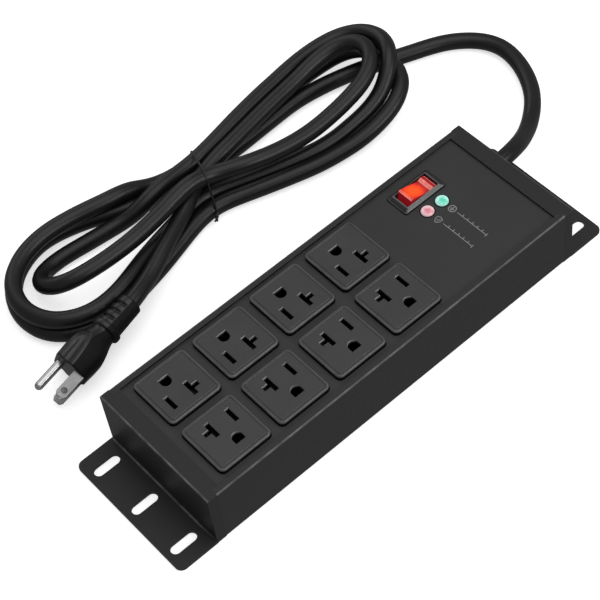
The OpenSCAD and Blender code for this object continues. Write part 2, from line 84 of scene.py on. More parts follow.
# ------------------------------------------------------------------ node helpers
class Mat:
    """A small builder for node materials that work in object coordinates (metres)."""

    def __init__(self, name):
        self.mat = bpy.data.materials.new(name)
        self.mat.use_nodes = True
        self.t = self.mat.node_tree
        self.t.nodes.clear()
        self.out = self.t.nodes.new("ShaderNodeOutputMaterial")
        self.b = self.t.nodes.new("ShaderNodeBsdfPrincipled")
        self.t.links.new(self.b.outputs[0], self.out.inputs["Surface"])
        self.tc = self.t.nodes.new("ShaderNodeTexCoord")
        self.obj = self.tc.outputs["Object"]

    def link(self, a, b):
        self.t.links.new(a, b)

    def put(self, node, key, value):
        if hasattr(value, "is_output"):
            self.link(value, node.inputs[key])
        else:
            node.inputs[key].default_value = value

    def noise(self, scale, detail=2.0, rough=0.5, vec=None, stretch=None, distortion=0.0):
        v = vec or self.obj
        if stretch:
            mp = self.t.nodes.new("ShaderNodeMapping")
            mp.inputs["Scale"].default_value = stretch
            self.link(v, mp.inputs["Vector"])
            v = mp.outputs[0]
        n = self.t.nodes.new("ShaderNodeTexNoise")
        self.link(v, n.inputs["Vector"])
        n.inputs["Scale"].default_value = scale
        n.inputs["Detail"].default_value = detail
        n.inputs["Roughness"].default_value = rough
        n.inputs["Distortion"].default_value = distortion
        return n.outputs[0]

    def voronoi(self, scale, feature="F1"):
        n = self.t.nodes.new("ShaderNodeTexVoronoi")
        n.feature = feature
        self.link(self.obj, n.inputs["Vector"])
        n.inputs["Scale"].default_value = scale
        return n.outputs["Distance"]

    def span(self, v, a, b, lo=0.0, hi=1.0, smooth=False):
        n = self.t.nodes.new("ShaderNodeMapRange")
        if smooth:
            n.interpolation_type = "SMOOTHSTEP"
        n.clamp = True
        self.link(v, n.inputs[0])
        for k, x in zip((1, 2, 3, 4), (a, b, lo, hi)):
            n.inputs[k].default_value = x
        return n.outputs[0]

    def math(self, op, a, b=None, c=None):
        n = self.t.nodes.new("ShaderNodeMath")
        n.operation = op
        self.put(n, 0, a)
        if b is not None:
            self.put(n, 1, b)
        if c is not None:
            self.put(n, 2, c)
        return n.outputs[0]

    def mix(self, f, a, b):
        n = self.t.nodes.new("ShaderNodeMix")
        n.data_type = "RGBA"
        self.put(n, 0, f)
        for k, v in ((6, a), (7, b)):
            if hasattr(v, "is_output"):
                self.link(v, n.inputs[k])
            else:
                n.inputs[k].default_value = (*v, 1) if len(v) == 3 else v
        return n.outputs[2]

    def attr(self, name):
        n = self.t.nodes.new("ShaderNodeAttribute")
        n.attribute_type = "GEOMETRY"
        n.attribute_name = name
        return n.outputs["Fac"]

    def split(self, v=None):
        n = self.t.nodes.new("ShaderNodeSeparateXYZ")
        self.link(v or self.obj, n.inputs[0])
        return n.outputs

    def normal_z(self):
        n = self.t.nodes.new("ShaderNodeNewGeometry")
        return self.split(n.outputs["Normal"])[2]

    def bump(self, h, distance, strength=1.0, chain=None):
        n = self.t.nodes.new("ShaderNodeBump")
        n.inputs["Strength"].default_value = strength
        n.inputs["Distance"].default_value = distance
        self.link(h, n.inputs["Height"])
        if chain is not None:
            self.link(chain, n.inputs["Normal"])
        return n.outputs[0]

    def set(self, **kw):
        names = {"color": "Base Color", "rough": "Roughness", "metal": "Metallic", "normal": "Normal", "coat": "Coat Weight", "coat_rough": "Coat Roughness",
                 "spec": "Specular IOR Level", "ior": "IOR", "trans": "Transmission Weight", "emit": "Emission Color", "emit_k": "Emission Strength",
                 "sss": "Subsurface Weight", "sss_r": "Subsurface Radius", "sss_s": "Subsurface Scale", "sheen": "Sheen Weight", "sheen_rough": "Sheen Roughness"}
        for k, v in kw.items():
            i = self.b.inputs[names[k]]
            if hasattr(v, "is_output"):
                self.link(v, i)
            elif hasattr(v, "__len__") and len(v) == 3 and k in ("color", "emit"):
                i.default_value = (*v, 1)
            else:
                i.default_value = v
        return self.mat


def hexa(s, k=1.0):
    v = [int(s[i:i + 2], 16) / 255 for i in (0, 2, 4)]
    return tuple(k * (c / 12.92 if c <= 0.04045 else ((c + 0.055) / 1.055) ** 2.4) for c in v)


def scale3(c, k):
    return tuple(min(1.0, x * k) for x in c)


def powder_coat(name, base, rough=0.5, spec=0.35, edge=(0.09, 0.09, 0.092)):
    """Fine-textured matt powder coat on sheet steel, painted a little lighter on its folded edges as a highlight."""
    m = Mat(name)
    cloud = m.noise(26, 3, 0.55)
    fleck = m.noise(2600, 1, 0.5)
    peel = m.noise(1150, 2, 0.55)
    col = m.mix(m.span(cloud, 0.3, 0.7), scale3(base, 0.93), scale3(base, 1.07))
    col = m.mix(m.span(fleck, 0.62, 0.78, 0, 0.22), col, scale3(base, 2.1))
    # painted highlight: the marked edge faces are mixed towards the lighter edge colour, broken up by noise
    painted_highlight = m.math("MULTIPLY", m.attr("painted_highlight"), m.span(m.noise(120, 3, 0.6), 0.35, 0.65, 0.35, 1.0))
    col = m.mix(painted_highlight, col, edge)
    r = m.math("ADD", m.span(peel, 0.3, 0.7, rough - 0.05, rough + 0.06), m.span(cloud, 0.3, 0.7, -0.03, 0.03))
    n = m.bump(peel, 0.00006, 0.32)
    n = m.bump(fleck, 0.00003, 0.25, n)
    return m.set(color=col, rough=r, normal=n, spec=spec)


def moulded(name, base, rough=0.42, spec=0.4, grain=1500, depth=0.00004, edge=None, strength=0.3, cloud_k=0.06, **kw):
    """Injection-moulded plastic with a fine spark-eroded grain and faint flow clouding."""
    m = Mat(name)
    cloud = m.noise(42, 3, 0.55)
    g = m.noise(grain, 2, 0.6)
    cell = m.voronoi(grain * 1.15)
    col = m.mix(m.span(cloud, 0.3, 0.7), scale3(base, 1 - cloud_k), scale3(base, 1 + cloud_k))
    col = m.mix(m.span(cell, 0.0, 0.55, 0.16, 0.0), col, scale3(base, 1.9))
    if edge:
        # painted highlight: the marked edge faces take the lighter edge colour and a lower roughness
        painted_highlight = m.math("MULTIPLY", m.attr("painted_highlight"), m.span(m.noise(160, 3, 0.6), 0.3, 0.7, 0.4, 1.0))
        col = m.mix(painted_highlight, col, edge)
    r = m.math("ADD", m.span(g, 0.3, 0.7, rough - 0.05, rough + 0.05), m.span(cloud, 0.3, 0.7, -0.03, 0.03))
    if edge:
        r = m.math("SUBTRACT", r, m.math("MULTIPLY", painted_highlight, 0.2))
    n = m.bump(g, depth, strength)
    return m.set(color=col, rough=r, normal=n, spec=spec, **kw)


def metal(name, base, rough=0.28, dark=0.7, stretch=(1, 1, 1), scale=900, tarnish=0.25, metallic=1.0):
    m = Mat(name)
    brush = m.noise(scale, 3, 0.6, stretch=stretch)
    cloud = m.noise(70, 3, 0.6)
    fine = m.noise(3200, 1, 0.5)
    col = m.mix(m.span(cloud, 0.35, 0.7, 0, tarnish), base, scale3(base, dark))
    col = m.mix(m.span(brush, 0.3, 0.7, 0, 0.25), col, scale3(base, 0.82))
    # painted highlight: the marked faces are lightened
    painted_highlight = m.math("MULTIPLY", m.attr("painted_highlight"), m.span(cloud, 0.3, 0.7, 0.2, 0.8))
    col = m.mix(painted_highlight, col, scale3(base, 1.15))
    r = m.math("ADD", m.span(brush, 0.3, 0.7, rough - 0.07, rough + 0.09), m.span(fine, 0.3, 0.7, -0.03, 0.04))
    n = m.bump(brush, 0.00002, 0.35)
    return m.set(color=col, rough=r, metal=metallic, normal=n)


# ------------------------------------------------------------------ mesh helpers
def finish_mesh(name, verts, faces, mat, body="housing", sharp=35, replaces=(), painted_highlight=None, weighted=True, mats=None, face_mats=None, recalc=True):
    """Makes an object from millimetre points, with clean outward normals and smooth shading split at real edges."""
    me = bpy.data.meshes.new(name)
    me.from_pydata([(v[0] * 0.001, v[1] * 0.001, v[2] * 0.001) for v in verts], [], faces)
    me.validate()
    if recalc:
        bm = bmesh.new()
        bm.from_mesh(me)
        bmesh.ops.recalc_face_normals(bm, faces=bm.faces)
        bm.to_mesh(me)
        bm.free()
    return dress(name, me, mat, body, sharp, replaces, painted_highlight, weighted, mats, face_mats)


def dress(name, me, mat, body="housing", sharp=35, replaces=(), painted_highlight=None, weighted=True, mats=None, face_mats=None):
    ob = bpy.data.objects.new(name, me)
    root.objects.link(ob)
    for m in mats or [mat]:
        me.materials.append(m)
    if face_mats:
        for p, k in zip(me.polygons, face_mats):
            p.material_index = k
    for p in me.polygons:
        p.use_smooth = True
    me.set_sharp_from_angle(angle=math.radians(sharp))
    if painted_highlight is not None:
        at = me.attributes.new("painted_highlight", "FLOAT", "FACE")
        at.data.foreach_set("value", painted_highlight)
    if weighted:
        w = ob.modifiers.new("normals", "WEIGHTED_NORMAL")
        w.keep_sharp = True
    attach(ob, body)
    if replaces:
        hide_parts(*replaces)
    return ob


def rrect(hx, hy, r, n=6):
    """Points of a rounded rectangle, anticlockwise, (n+1) points a corner."""
    r = max(min(r, hx, hy), 1e-4)
    out = []
    for cx, cy, a0 in ((hx - r, hy - r, 0), (-hx + r, hy - r, 90), (-hx + r, -hy + r, 180), (hx - r, -hy + r, 270)):
        for k in range(n + 1):
            a = math.radians(a0 + 90 * k / n)
            out.append((cx + r * math.cos(a), cy + r * math.sin(a)))
    return out


def bridge(a, b, n):
    """Quads between two rings of n points whose first indices are a and b."""
    return [(a + k, a + (k + 1) % n, b + (k + 1) % n, b + k) for k in range(n)]


def offset_poly(p, d):
    """Moves each side of an anticlockwise polygon outward by d, with mitred corners."""
    out, n = [], len(p)
    for i in range(n):
        a, b, c = Vector(p[i - 1]), Vector(p[i]), Vector(p[(i + 1) % n])
        e1, e2 = (b - a).normalized(), (c - b).normalized()
        n1, n2 = Vector((e1.y, -e1.x)), Vector((e2.y, -e2.x))
        k = 1 + n1.dot(n2)
        m = (n1 + n2) / k if k > 0.2 else n1
        q = b + m * d
        out.append((q.x, q.y))
    return out


def refine(node, mat, width=0.3, segments=2, angle=30, big=None, big_width=0.8, big_segments=3, sharp=30, name=None, body="housing", dissolve=0.6):
    """A clean copy of a CAD solid: merged, its flat regions made whole, and every hard edge rounded as the real edge is."""
    me = NODE[node].data.copy()
    name = name or node + "_skin"
    me.name = name
    bm = bmesh.new()
    bm.from_mesh(me)
    for layer in list(bm.loops.layers.uv):
        bm.loops.layers.uv.remove(layer)
    bmesh.ops.remove_doubles(bm, verts=bm.verts, dist=3e-6)
    bmesh.ops.dissolve_degenerate(bm, dist=2e-6, edges=bm.edges)
    bmesh.ops.dissolve_limit(bm, angle_limit=math.radians(dissolve), use_dissolve_boundaries=False, verts=bm.verts, edges=bm.edges)
    # the rounded edge faces are marked here for the materials' painted highlight
    painted_highlight = bm.faces.layers.float.new("painted_highlight")

    def hard(e, lim):
        return len(e.link_faces) == 2 and e.calc_face_angle(0) > math.radians(lim)

    def round_edges(edges, w, s):
        r = bmesh.ops.bevel(bm, geom=edges, offset=w * 0.001, offset_type="OFFSET", segments=s, profile=0.5, affect="EDGES", clamp_overlap=True)
        for f in r["faces"]:
            f[painted_highlight] = 1.0

    done = set()
    if big:
        es = [e for e in bm.edges if hard(e, angle) and big(e)]
        if es:
            round_edges(es, big_width, big_segments)
    if width:
        es = [e for e in bm.edges if hard(e, angle) and not any(f[painted_highlight] > 0.5 for f in e.link_faces)]
        if es:
            round_edges(es, width, segments)
    bmesh.ops.remove_doubles(bm, verts=bm.verts, dist=1e-6)
    bmesh.ops.dissolve_degenerate(bm, dist=1e-6, edges=bm.edges)
    bmesh.ops.recalc_face_normals(bm, faces=bm.faces)
    bm.to_mesh(me)
    bm.free()
    me.materials.clear()
    return dress(name, me, mat, body, sharp, (node,))


# ------------------------------------------------------------------ materials
# painted shade: the channel takes the tone of its side walls and the brackets the tone of their flanges and end faces,
# darker than the panel's top tone because those faces get less light; the lighter edge colours are painted highlights
CHANNEL = powder_coat("channel_paint_mat", hexa("343434", 0.62), 0.5, edge=(0.14, 0.14, 0.143))
PANEL = powder_coat("panel_paint_mat", hexa("3e3e3e", 0.62), 0.52)
BRACKET = powder_coat("bracket_paint_mat", hexa("2c2c2c", 0.66), 0.5, edge=(0.15, 0.15, 0.153))
SOCKET = moulded("socket_plastic_mat", hexa("464646", 0.70), 0.38, 0.4, grain=1700, edge=(0.24, 0.24, 0.243))
# painted shade: near-black material for the outlets' drawn-in skirts, the deep part of their slots, and the rings at
# the feet of the bezel and lenses
PAINTED_SHADE = moulded("painted_shade_skirt_mat", hexa("101011", 0.8), 0.7, 0.15, grain=1700)
JACKET = moulded("cord_jacket_mat", hexa("262627", 0.36), 0.38, 0.38, grain=900, depth=0.00005, strength=0.22, cloud_k=0.1)
RELIEF = moulded("strain_relief_mat", hexa("1f1f20", 0.55), 0.45, 0.4, grain=1300)
PLUGM = moulded("plug_moulding_mat", hexa("252526", 0.5), 0.36, 0.45, grain=1500, edge=(0.08, 0.08, 0.082), strength=0.22)
# painted shade: a darker colour for the plug's plain +Y half, to keep it dark under the flank lamp; its rougher, less
# glossy finish is the moulding's own
PLUG_PLAIN_SHADE = moulded("plug_plain_painted_shade_mat", hexa("1c1c1d", 0.55), 0.6, 0.14, grain=1500, strength=0.22)
TIE = moulded("tie_wire_mat", hexa("1c1c1d", 0.8), 0.32, 0.5, grain=2600)
SWITCH = moulded("switch_plastic_mat", hexa("2a2a2b", 0.8), 0.3, 0.55, grain=1900, edge=(0.16, 0.165, 0.17))
NICKEL = metal("prong_nickel_mat", (0.30, 0.30, 0.298), 0.44, 0.8, stretch=(0.12, 1, 1), scale=1400)
PIN = metal("pin_nickel_mat", (0.50, 0.50, 0.495), 0.2, 0.75, scale=1400)
STEEL = metal("screw_steel_mat", (0.30, 0.30, 0.31), 0.36, 0.6)
# painted shade: the brass is darkened nearly to black so that it reads as the shade deep in the socket slots
BRASS_PAINTED_SHADE = metal("brass_painted_shade_mat", (0.055, 0.040, 0.022), 0.5, 0.66, stretch=(0.1, 1, 1))
SPRING = metal("spring_steel_mat", (0.50, 0.51, 0.53), 0.28, 0.7)
COPPER = metal("contact_copper_mat", (0.62, 0.30, 0.15), 0.34, 0.6)
TIN = metal("tinned_metal_mat", (0.56, 0.57, 0.58), 0.38, 0.7)
GREENS = metal("green_screw_mat", (0.09, 0.30, 0.10), 0.36, 0.6)
FUSE = metal("fuse_metal_mat", (0.58, 0.59, 0.60), 0.33, 0.7)
CARRIER = moulded("carrier_plastic_mat", hexa("2c2c2e", 0.9), 0.5, 0.35, grain=1200)
NYLON = moulded("plunger_nylon_mat", (0.66, 0.62, 0.52), 0.4, 0.4, grain=1200)
VARISTOR = moulded("varistor_blue_mat", (0.03, 0.09, 0.33), 0.3, 0.5, grain=700, depth=0.00008)
CAPACITOR = moulded("capacitor_case_mat", (0.55, 0.36, 0.05), 0.35, 0.45, grain=1100)
WIRE_K = moulded("wire_black_mat", (0.012, 0.012, 0.013), 0.38, 0.45, grain=1500)
WIRE_W = moulded("wire_white_mat", (0.62, 0.60, 0.54), 0.42, 0.4, grain=1500)
WIRE_G = moulded("wire_green_mat", (0.04, 0.24, 0.07), 0.4, 0.42, grain=1500)
EPOXY = moulded("led_epoxy_mat", (0.72, 0.78, 0.76), 0.16, 0.5, grain=900, depth=0.00001)
LAMP = moulded("lamp_glass_mat", (0.85, 0.38, 0.14), 0.12, 0.5, grain=900, depth=0.00001)


def board_material():
    m = Mat("circuit_board_mat")
    weave = m.t.nodes.new("ShaderNodeTexWave")
    m.link(m.obj, weave.inputs["Vector"])
    weave.inputs["Scale"].default_value = 420
    weave.inputs["Distortion"].default_value = 1.5
    cloud = m.noise(60, 3, 0.55)
    col = m.mix(m.span(weave.outputs["Fac"], 0.2, 0.8, 0, 0.35), (0.018, 0.11, 0.03), (0.03, 0.16, 0.045))
    col = m.mix(m.span(cloud, 0.45, 0.6, 0, 0.5), col, (0.012, 0.075, 0.022))
    return m.set(color=col, rough=m.span(cloud, 0.3, 0.7, 0.28, 0.42), normal=m.bump(weave.outputs["Fac"], 0.00003, 0.3))


BOARD = board_material()


def legend_material():
    """Pad-printed ink: slightly uneven cover and a soft matt tooth."""
    m = Mat("legend_ink_mat")
    n = m.noise(1900, 2, 0.6)
    col = m.mix(m.span(n, 0.3, 0.7), hexa("8c8c8c", 0.9), hexa("a2a2a2", 0.9))
    return m.set(color=col, rough=m.span(n, 0.3, 0.7, 0.5, 0.68), normal=m.bump(n, 0.00001, 0.3), spec=0.3)


INK = legend_material()


def lens_material(name, centre, deep, pale, k=0.3):
    """Lit diffusing lens: pale where the moulding is thick, saturated over its lamp, faint moulding swirl."""
    m = Mat(name)
    v = m.t.nodes.new("ShaderNodeVectorMath")
    v.operation = "DISTANCE"
    m.link(m.obj, v.inputs[0])
    v.inputs[1].default_value = centre
    swirl = m.noise(700, 2, 0.5, distortion=0.6)
    d = m.math("ADD", v.outputs["Value"], m.span(swirl, 0.3, 0.7, -0.0007, 0.0007))
    f = m.span(d, 0.0009, 0.0034, 0, 1, smooth=True)
    col = m.mix(f, deep, pale)
    return m.set(color=col, rough=m.span(swirl, 0.3, 0.7, 0.16, 0.28), emit=col, emit_k=k, normal=m.bump(m.noise(1500, 1, 0.5), 0.00002, 0.3), coat=0.4, coat_rough=0.08)


LENS_G = lens_material("lens_green_mat", (0.0814, 0.0104, 0.0390), (0.05, 0.58, 0.38), (0.50, 0.90, 0.82))
LENS_R = lens_material("lens_red_mat", (0.0713, 0.0108, 0.0390), (0.66, 0.17, 0.23), (0.86, 0.60, 0.63), 0.26)


def rocker_material():
    """Translucent red rocker lit from below: orange over the lamp, deep red towards its ends and skirt, with a painted
    pale pink highlight on its soft edges.
    """
    m = Mat("rocker_red_mat")
    s = m.split()
    dx = m.math("MULTIPLY", m.math("SUBTRACT", s[0], 0.0745), 1 / 0.0074)
    dy = m.math("MULTIPLY", m.math("SUBTRACT", s[1], 0.0254), 1 / 0.0062)
    d = m.math("SQRT", m.math("ADD", m.math("MULTIPLY", dx, dx), m.math("MULTIPLY", dy, dy)))
    swirl = m.noise(520, 2, 0.55, distortion=0.4)
    d = m.math("ADD", d, m.span(swirl, 0.3, 0.7, -0.1, 0.1))
    top = m.span(s[2], 0.0372, 0.0408, 0, 1, smooth=True)
    glow = m.math("MULTIPLY", m.span(d, 0.15, 1.25, 1, 0, smooth=True), m.math("MULTIPLY", top, m.span(m.normal_z(), 0.35, 0.85, 0.0, 1.0)))
    col = m.mix(glow, (0.34, 0.008, 0.012), (0.90, 0.060, 0.008))
    emit = m.mix(glow, (0.15, 0.004, 0.008), (1.0, 0.072, 0.004))
    # painted highlight: the marked soft edges are mixed to pale pink in colour and in glow
    edge = m.math("MULTIPLY", m.attr("painted_highlight"), m.span(swirl, 0.3, 0.7, 0.5, 0.8))
    col = m.mix(edge, col, (0.95, 0.42, 0.36))
    emit = m.mix(edge, emit, (0.85, 0.30, 0.24))
    return m.set(color=col, rough=m.span(swirl, 0.3, 0.7, 0.2, 0.32), emit=emit, emit_k=0.8, normal=m.bump(m.noise(1400, 2, 0.5), 0.00002, 0.3), spec=0.32, coat=0.15, coat_rough=0.1)


ROCKER = rocker_material()


# ------------------------------------------------------------------ the cord
ROUTE = [
    (137, 20, 20), (146.1, 22, 18.1), (155, 25.9, 13.3), (163.3, 30.4, 9.1), (171.1, 35.1, 6.1), (178.3, 40.1, 4.9), (184.9, 45.4, 4.9),
    (190.6, 51.4, 4.9), (195.4, 58.2, 4.9), (199.4, 65.7, 4.9), (202.5, 73.8, 4.9), (204.5, 82.4, 4.9), (204.6, 91.2, 4.9), (201.7, 99.6, 4.9),
    (196.4, 106.8, 4.9), (189.8, 112.9, 4.9), (182.3, 117.8, 4.9), (174.1, 121.5, 4.9), (165.7, 124.8, 4.9), (157.4, 128.2, 4.9), (149.1, 131.6, 4.9),
    (140.7, 134.8, 5), (132.2, 137.8, 5), (123.5, 140.3, 5), (114.8, 142.5, 5), (105.9, 144.1, 5), (97, 145.4, 5), (88.1, 145.8, 5), (79.1, 145.4, 5),
    (70.1, 144.9, 5), (61, 144.4, 5), (52, 143.8, 5), (43, 143.3, 5.1), (34.1, 142.9, 5.2), (25.2, 142.3, 5), (16.3, 141.4, 4.9), (7.4, 140.8, 4.9),
    (-1.4, 142.3, 4.9), (-9.7, 145.7, 4.9), (-18, 149.4, 4.9), (-26, 153.5, 4.9), (-34.3, 157.1, 4.9), (-42.5, 160.7, 4.9), (-50.9, 164.1, 4.9),
    (-59.5, 166.7, 5), (-68.3, 168.5, 5), (-77.2, 168.9, 5), (-86, 167, 5), (-94.2, 163.4, 5), (-101.7, 158.4, 5), (-107.6, 151.7, 5),
    (-111.5, 143.6, 5), (-113.4, 134.8, 5), (-113, 125.8, 5), (-110, 117.4, 5), (-104.4, 110.4, 5), (-96.8, 105.6, 5), (-88.3, 102.8, 5),
    (-79.4, 101.7, 4.9), (-70.4, 101.9, 4.9), (-61.4, 102.9, 4.9), (-52.6, 104.6, 4.9), (-43.8, 106.6, 4.9), (-35, 108.8, 4.9), (-26.4, 111.4, 4.9),
    (-17.7, 114, 4.9), (-9.1, 116.6, 4.9), (-0.3, 118.5, 4.9), (8.7, 118.8, 4.9), (17.5, 117.1, 4.9), (26, 114.2, 4.9), (34.5, 111.2, 5),
    (43, 108.3, 5), (51.6, 105.6, 5), (60.2, 102.9, 5), (68.9, 100.5, 5), (77.8, 98.8, 5.1), (86.7, 97.6, 5.2), (95.7, 96.5, 5.7), (104.6, 96.3, 6.5),
    (113.5, 96.8, 7.5), (122.4, 98, 8.9), (130.9, 100.4, 10.6), (138.6, 104.8, 12.3), (144.3, 111.8, 13.1), (146.3, 120.6, 13.6),
    (145.7, 129.7, 14.4), (143.9, 138.4, 14.4), (139, 145.6, 12.9), (131.8, 150.5, 10.9), (123.5, 153.3, 8.8), (114.8, 154.9, 7.1), (105.9, 155.7, 6),
    (97, 155.8, 5.3), (88, 155.6, 5), (79.1, 155.2, 4.9), (70.2, 154.7, 4.9), (61.3, 154.1, 4.9), (52.3, 153.6, 4.9), (43.4, 153.1, 4.9),
    (34.4, 152.7, 4.9), (25.4, 152.1, 4.9), (16.4, 151.8, 4.9), (7.5, 152.5, 4.9), (-1.3, 154.1, 4.9), (-9.9, 156.3, 6.5), (-18.1, 158.2, 10.7),
    (-27, 158.2, 13.8), (-36.1, 159.2, 14.6), (-45, 161.2, 14.7), (-53.8, 163.1, 14.6), (-62.7, 164.3, 14.7), (-71.7, 164.9, 14.8),
    (-80.6, 164.1, 14.8), (-89.4, 162, 14.8), (-97.5, 158.1, 14.8), (-104.5, 152.5, 14.8), (-109.7, 145.2, 14.8), (-112.3, 136.7, 14.8),
    (-112.2, 127.7, 14.8), (-109.4, 119.2, 14.8), (-104, 112.1, 14.8), (-96.6, 107, 14.8), (-88.2, 104, 14.7), (-79.2, 103.3, 14.6),
    (-70.3, 104.5, 14.3), (-61.6, 107, 13.8), (-53.3, 110.4, 12.7), (-45.1, 113.9, 11.2), (-36.9, 117.2, 9.6), (-28.6, 120.4, 7.9),
    (-20.1, 123.4, 6.1), (-11.6, 126, 5), (-3, 128.2, 4.9), (5.8, 129.2, 4.9), (14.6, 128.4, 4.9), (23.1, 125.7, 4.9), (31.5, 122.6, 4.9),
    (40, 119.7, 4.9), (48.5, 116.8, 5), (57.1, 114.1, 5), (65.7, 111.5, 5), (74.4, 109.3, 5), (83.2, 107.9, 5), (92.1, 107.5, 5.1), (101, 107.8, 5.7),
    (109.9, 107.6, 7.2), (118.6, 107.9, 9.5), (126.8, 109.2, 12.8), (134, 112.2, 17.1), (140.6, 116.6, 21.5), (146.5, 123.2, 23.6),
    (150.1, 131.5, 23.1), (150.7, 140.4, 21.1), (148.4, 148.7, 18.6), (142.8, 155.3, 16.4), (135, 159.3, 15.1), (126.2, 161.1, 14.4),
    (117.2, 161.5, 14.3), (108.2, 161.1, 14.3), (99.2, 160.2, 14.3), (90.3, 158.9, 14.2), (81.4, 157.7, 14.4), (72.5, 156.2, 14.6),
    (63.7, 154.6, 14.7), (54.9, 153, 14.6), (46.1, 151.2, 14.5), (37.3, 149.5, 14.1), (28.4, 148, 13.7), (19.5, 146.8, 13.3), (10.4, 146.4, 12.9),
    (1, 145.8, 13.7), (-8.3, 144.5, 14.6), (-17.6, 143.7, 13.3), (-26.1, 144.2, 9.8), (-34.1, 146.6, 6.5), (-42.8, 148.3, 5.5), (-51.7, 149.4, 5.3),
    (-60.6, 150.6, 5.1), (-69.5, 151.8, 5), (-78.5, 152.2, 5), (-87.1, 150.3, 6.3), (-93.3, 144.9, 9.6), (-95.5, 137.4, 13.7), (-92.9, 130, 17.8),
    (-86.4, 124.7, 20.7), (-77.8, 122.3, 21.8), (-68.9, 121.4, 21.9), (-59.9, 121.1, 21.8), (-50.9, 121.2, 21.8), (-41.9, 121.7, 21.8),
    (-33, 122.9, 21.9), (-24, 124.4, 21.9), (-15.2, 126, 22.1), (-6.4, 127.1, 23.5), (2.7, 127.6, 24.1), (11.7, 127.4, 21.6), (20.3, 124.5, 20.9),
    (28.2, 120.4, 21.6), (36.7, 117.5, 21.3), (45.4, 115.5, 20.2), (54.2, 114.1, 19.1), (63.1, 113.3, 18.1), (72, 113, 17.3), (81, 113.1, 17),
    (90, 113.5, 17.4), (99, 114.1, 18.1), (107.9, 114.9, 19.1), (116.7, 116, 20.6), (125.2, 118.4, 22.4), (132.7, 122.9, 24.1), (138, 130.1, 24.6),
    (138.7, 138.8, 23.8), (134.3, 146.1, 21.8), (126.6, 150.1, 19.6), (117.9, 151.4, 17.8), (109, 151.3, 16.3), (100.1, 150.3, 15.2),
    (91.2, 149.2, 14.8), (82.3, 147.9, 14.9), (73.4, 146.5, 15), (64.5, 144.9, 15), (55.6, 143.3, 15), (46.8, 141.5, 15.1), (37.9, 139.8, 15.3),
    (29.1, 138.3, 15.1), (20.6, 136.9, 13.8), (12.1, 134.7, 13.2), (4, 131, 14.4), (-3.5, 125.7, 14.3), (-11.3, 121.3, 13.6), (-19.3, 117.1, 14),
    (-27.3, 112.8, 14.5), (-35.3, 108.5, 14.7), (-43.3, 104.4, 14.4), (-51.4, 100.5, 14.1), (-59.6, 96.5, 15.5), (-68, 92.7, 16.9),
    (-73.8, 91.4, 16.5),
]
LEAD_IN = [(119, 20, 20), (125, 20, 20), (131, 20, 20)]
CORD_R = 4.9


def make_cord():
    pts = LEAD_IN + ROUTE
    cu = bpy.data.curves.new("supply_cord", "CURVE")
    cu.dimensions = "3D"
    sp = cu.splines.new("NURBS")
    sp.points.add(len(pts) - 1)
    for p, q in zip(sp.points, pts):
        p.co = (q[0] * 0.001, q[1] * 0.001, q[2] * 0.001, 1)
    sp.order_u = 4
    sp.use_endpoint_u = True
    sp.resolution_u = 4
    cu.resolution_u = 4
    cu.bevel_depth = CORD_R * 0.001
    cu.bevel_resolution = 6
    cu.use_fill_caps = True
    cu.twist_mode = "MINIMUM"
    cu.materials.append(JACKET)
    ob = bpy.data.objects.new("supply_cord", cu)
    root.objects.link(ob)
    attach(ob, "housing")
    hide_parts("cord_lead", "cord_hank", "cord_tail")
    length = sum((Vector(a) - Vector(b)).length for a, b in zip(pts, pts[1:])) * 0.001
    return ob, length


cord, cord_length = make_cord()


# ------------------------------------------------------------------ wire tie round the waist of the hank
def tube(points, r, n=12, closed=False):
    """Verts and faces of a tube along points (mm), with frames carried along it."""
    pts = [Vector(p) for p in points]
    m = len(pts)
    verts, faces = [], []
    u = Vector((0.13, 0.31, 0.94))
    for i, p in enumerate(pts):
        if closed:
            d = (pts[(i + 1) % m] - pts[i - 1]).normalized()
        else:
            d = (pts[min(i + 1, m - 1)] - pts[max(i - 1, 0)]).normalized()
        s = d.cross(u.cross(d)).normalized()
        u = s
        t = d.cross(s)
        for k in range(n):
            a = 2 * math.pi * k / n
            verts.append(tuple(p + r * (math.cos(a) * s + math.sin(a) * t)))
    last = m if closed else m - 1
    for i in range(last):
        faces += bridge(i * n, ((i + 1) % m) * n, n)
    if not closed:
        faces.append(tuple(range(n))[::-1])
        faces.append(tuple((m - 1) * n + k for k in range(n)))
    return verts, faces


def join(parts):
    verts, faces = [], []
    for v, f in parts:
        base = len(verts)
        verts += v
        faces += [tuple(base + i for i in q) for q in f]
    return verts, faces


